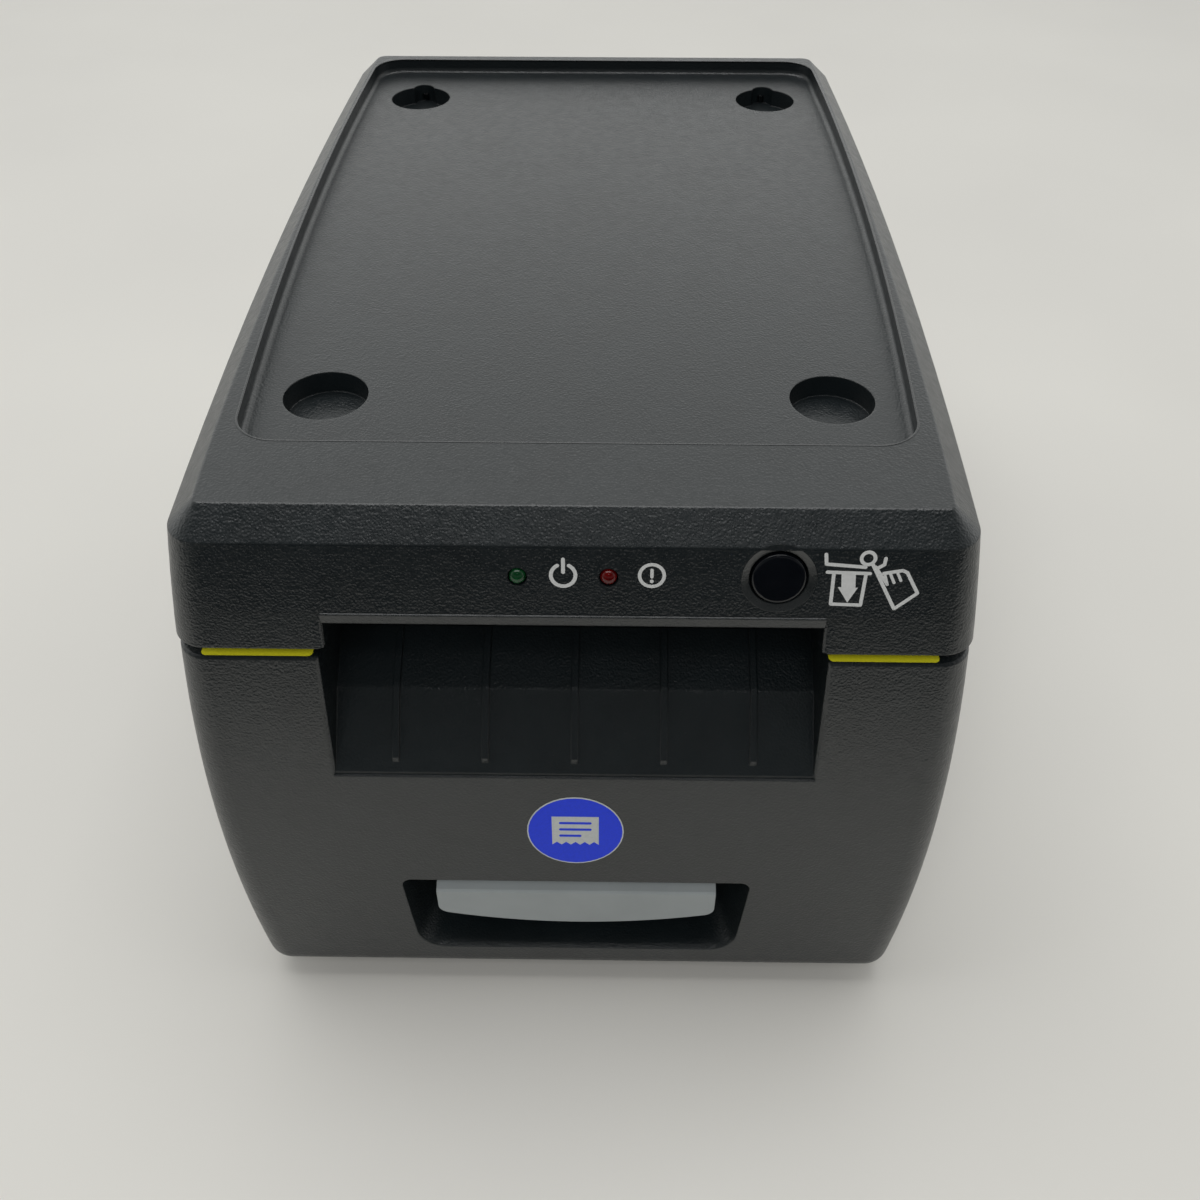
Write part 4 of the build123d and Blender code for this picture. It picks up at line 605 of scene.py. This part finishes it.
def tray_outline(corner_steps=12, side_steps=24):
    """Outline of the tray recess, with bowed long sides and round corners."""
    front, rear = TRAY_FRONT_Y + TRAY_CORNER, TRAY_REAR_Y - TRAY_CORNER

    def edge_x(y):
        return TRAY_HALF_WIDTH - TRAY_BOW + (TRAY_BOW ** 2 - (y - TRAY_WIDEST_Y) ** 2) ** 0.5

    def corner(y, first):
        angles = [radians(first + 90 * k / corner_steps) for k in range(corner_steps + 1)]
        return arc(edge_x(y) - TRAY_CORNER, y, TRAY_CORNER, angles)

    straight = TRAY_REAR_Y - TRAY_FRONT_Y - 2 * TRAY_CORNER
    side = [front + straight * k / side_steps for k in range(1, side_steps)]
    right = corner(front, -90) + [(edge_x(y), y) for y in side] + corner(rear, 0)
    return [Vector((x, y, 0)) for x, y in right] + [Vector((-x, y, 0)) for x, y in reversed(right)]


def tray_edge():
    """Fine rounded edge round the tray recess."""
    path, rows = tray_outline(), []
    for k, point in enumerate(path):
        ahead = (path[(k + 1) % len(path)] - path[k - 1]).normalized()
        out = Vector((ahead.y, -ahead.x, 0))
        rows.append([point + out * reach * MM + Vector((0, 0, cad_high.z + lift * MM))
                     for reach, lift in TRAY_EDGE_SECTION])
    new_piece("tray_edge", loft("tray_edge", rows, closed=True), "ring", "base", smooth=True)


# ---------------------------------------------------------------- labels
def badge():
    """Round blue sticker with a pale rim and a generic slip sign."""
    place = on_face(DRAWER_INSET, BADGE_PLACE[1])
    x = BADGE_PLACE[0]
    rim = 0.24 * MM
    decal("badge_rim", [ring(x, 0, BADGE_RADIUS - rim / 2, rim)], place, "white_ink", "drawer",
          low=SUNK, high=0.10 * MM)
    decal("badge_disc", [[circle(x, 0, BADGE_RADIUS - 0.2 * MM, 72)]], place, "blue", "drawer",
          low=SUNK, high=LABEL_LIFT, strip=1.2 * MM)
    width, top, foot, teeth = 4.6 * MM, 4.2 * MM, -3.8 * MM, 5
    torn = []
    for k in range(2 * teeth + 1):
        torn.append((x - width + 2 * width * k / (2 * teeth), foot + (0.8 * MM if k % 2 else 0.0)))
    slip = torn + [(x + width, top), (x - width, top)]
    lines = [rounded_box(x - 3.2 * MM, x + reach * MM, v * MM - 0.35 * MM, v * MM + 0.35 * MM, 0.3 * MM, 3)
             for v, reach in ((2.4, 3.2), (0.6, 3.2), (-1.2, 1.2))]
    decal("badge_slip", [[slip] + lines], place, "white_ink", "drawer",
          low=0.085 * MM, high=0.12 * MM)


def shoulder_labels():
    """Yellow labels on the drawer front's shoulders, under the cover's edge."""
    for side, (left, right) in LABEL_ENDS.items():
        edge = rounded_box(left, right, LABEL_FRONT, LABEL_REAR, LABEL_CORNER)
        decal(f"shoulder_label_{side}", [[edge]], on_level(SHOULDER_TOP), "yellow", "drawer",
              low=SUNK, high=LABEL_LIFT, strip=3 * MM)


# ---------------------------------------------------------------- coil springs
def head_coils():
    """Coil springs between the print frame and the head carrier, drawn in place of the imported springs."""
    low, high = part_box("head_springs")
    radius = (high.y - low.y) / 2 - COIL_WIRE
    middle_y = (high.y + low.y) / 2
    curve = bpy.data.curves.new("coil_path", "CURVE")
    curve.dimensions = "3D"
    curve.bevel_depth = COIL_WIRE
    curve.bevel_resolution = 3
    count = int(COIL_TURNS * COIL_STEPS) + 1
    for x in (low.x + radius + COIL_WIRE, high.x - radius - COIL_WIRE):
        path = curve.splines.new("POLY")
        path.points.add(count - 1)
        for k, point in enumerate(path.points):
            share = k / (count - 1)
            climb = min(max((share * COIL_TURNS - COIL_CLOSED) / (COIL_TURNS - 2 * COIL_CLOSED), 0.0), 1.0)
            z = low.z + COIL_WIRE + (high.z - low.z - 2 * COIL_WIRE) * climb
            angle = 2 * pi * COIL_TURNS * share
            point.co = (x + radius * cos(angle), middle_y + radius * sin(angle), z, 1)
    source = bpy.data.objects.new("coil_path", curve)
    bpy.context.scene.collection.objects.link(source)
    mesh = bpy.data.meshes.new_from_object(source.evaluated_get(bpy.context.evaluated_depsgraph_get()))
    bpy.data.objects.remove(source)
    coils = new_piece("head_coils", mesh, "screw", "base", smooth=True)
    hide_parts("head_springs")
    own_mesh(coils)


# ================================================================ stage, light and camera
def stage():
    """Pale table with faint unevenness, whose front edge is near the object."""
    mesh = bpy.data.meshes.new("table")
    corners = [(-TABLE_REACH, TABLE_NEAR, 0), (TABLE_REACH, TABLE_NEAR, 0), (TABLE_REACH, TABLE_REACH, 0),
               (-TABLE_REACH, TABLE_REACH, 0)]
    mesh.from_pydata(corners, [], [(0, 1, 2, 3)])
    table = bpy.data.objects.new("table", mesh)
    bpy.context.scene.collection.objects.link(table)
    s = Shader("table_top")
    tone = s.ramp(s.noise(160 * MM, 4), 0.3, 0.7)
    s.colour(s.blend(tone, (0.70, 0.685, 0.645), (0.74, 0.725, 0.68)))
    s.rough(s.ramp(s.noise(20 * MM), 0.3, 0.7, 0.55, 0.65))
    s.bump(s.noise(1.5 * MM, 3), 0.01 * MM)
    mesh.materials.append(s.material)


def world_light():
    """Soft room: bright low behind the object, dimmer overhead, faint in front and dark below."""
    world = bpy.data.worlds.new("room")
    bpy.context.scene.world = world
    world.use_nodes = True
    tree = world.node_tree
    tree.nodes.clear()
    link = tree.links.new
    output = tree.nodes.new("ShaderNodeOutputWorld")
    background = tree.nodes.new("ShaderNodeBackground")
    place = tree.nodes.new("ShaderNodeTexCoord")
    split = tree.nodes.new("ShaderNodeSeparateXYZ")
    link(place.outputs["Generated"], split.inputs[0])

    def span(source, low, high, at_low, at_high):
        """Smooth change from one strength to another between two places."""
        node = tree.nodes.new("ShaderNodeMapRange")
        node.interpolation_type = "SMOOTHSTEP"
        for key, value in (("From Min", low), ("From Max", high), ("To Min", at_low), ("To Max", at_high)):
            node.inputs[key].default_value = value
        link(source, node.inputs["Value"])
        return node.outputs["Result"]

    def combine(operation, first, second):
        node = tree.nodes.new("ShaderNodeMath")
        node.operation = operation
        link(first, node.inputs[0])
        link(second, node.inputs[1])
        return node.outputs["Value"]

    def times(first, second):
        return combine("MULTIPLY", first, second)

    # The direction's Y points to the rear and its Z up.
    across = span(split.outputs["Y"], -0.50, 0.48, ROOM_FRONT, ROOM_REAR)
    climb = span(split.outputs["Z"], 0.22, 0.68, 1.0, ROOM_OVERHEAD)
    below = span(split.outputs["Z"], -0.12, 0.0, ROOM_BELOW, 1.0)
    low = span(split.outputs["Z"], 0.0, 0.12, 0.0, ROOM_LOW)
    fading = span(split.outputs["Z"], 0.38, 0.60, 1.0, 0.0)
    glow = times(combine("ADD", times(across, climb), times(low, fading)), below)
    seen = tree.nodes.new("ShaderNodeLightPath")
    pick = tree.nodes.new("ShaderNodeMix")
    pick.data_type = "FLOAT"
    link(seen.outputs["Is Camera Ray"], pick.inputs["Factor"])
    link(glow, pick.inputs["A"])
    pick.inputs["B"].default_value = ROOM_SEEN
    link(pick.outputs["Result"], background.inputs["Strength"])
    background.inputs["Color"].default_value = (0.99, 1.0, 0.985, 1)
    link(background.outputs["Background"], output.inputs["Surface"])


def lamp(name, place, target, size, power, gloss=True):
    """Soft box that faces a target. Without gloss it isn't mirrored in what it lights."""
    data = bpy.data.lights.new(name, "AREA")
    data.shape = "RECTANGLE"
    data.size, data.size_y = size
    data.energy = power
    light = bpy.data.objects.new(name, data)
    light.location = place
    light.rotation_euler = (Vector(target) - Vector(place)).to_track_quat("-Z", "Y").to_euler()
    light.visible_glossy = gloss
    bpy.context.scene.collection.objects.link(light)


def lights():
    """The room, a ceiling light, a small lamp for glints and a fill from the front."""
    world_light()
    lamp("ceiling_light", (-0.2, 0.32, 1.9), (-0.2, 0.32, 0), (2.0, 1.2), CEILING_POWER)
    lamp("front_lamp", (0.05, -0.82, 1.20), (0, -0.1, 0.08), (0.12, 0.12), GLINT_POWER)
    lamp("front_fill", (-0.1, -1.3, 1.4), (0, -0.1, 0), (1.2, 1.2), FILL_POWER, gloss=False)


def camera():
    """Camera at the viewing angle of the photograph."""
    yaw, pitch, roll = CAMERA_YAW, CAMERA_PITCH, CAMERA_ROLL
    ahead = Vector((sin(yaw) * cos(pitch), cos(yaw) * cos(pitch), -sin(pitch)))
    right = Vector((cos(yaw), -sin(yaw), 0))
    down = ahead.cross(right)
    across = right * cos(roll) + down * sin(roll)
    below = down * cos(roll) - right * sin(roll)
    turn = Matrix((across, -below, -ahead)).transposed()
    data = bpy.data.cameras.new("camera")
    data.sensor_width = SENSOR
    data.lens = LENS
    data.clip_start = 0.01
    view = bpy.data.objects.new("camera", data)
    view.matrix_world = Matrix.Translation(CAMERA_PLACE) @ turn.to_4x4()
    bpy.context.scene.collection.objects.link(view)
    bpy.context.scene.camera = view


# ================================================================ build
dress_nodes()
panel_film()
panel_signs()
notch_band()
notch_edges()
button_ring()
tray_edge()
badge()
shoulder_labels()
head_coils()
stage()
lights()
camera()
bpy.context.scene.view_settings.view_transform = "Standard"
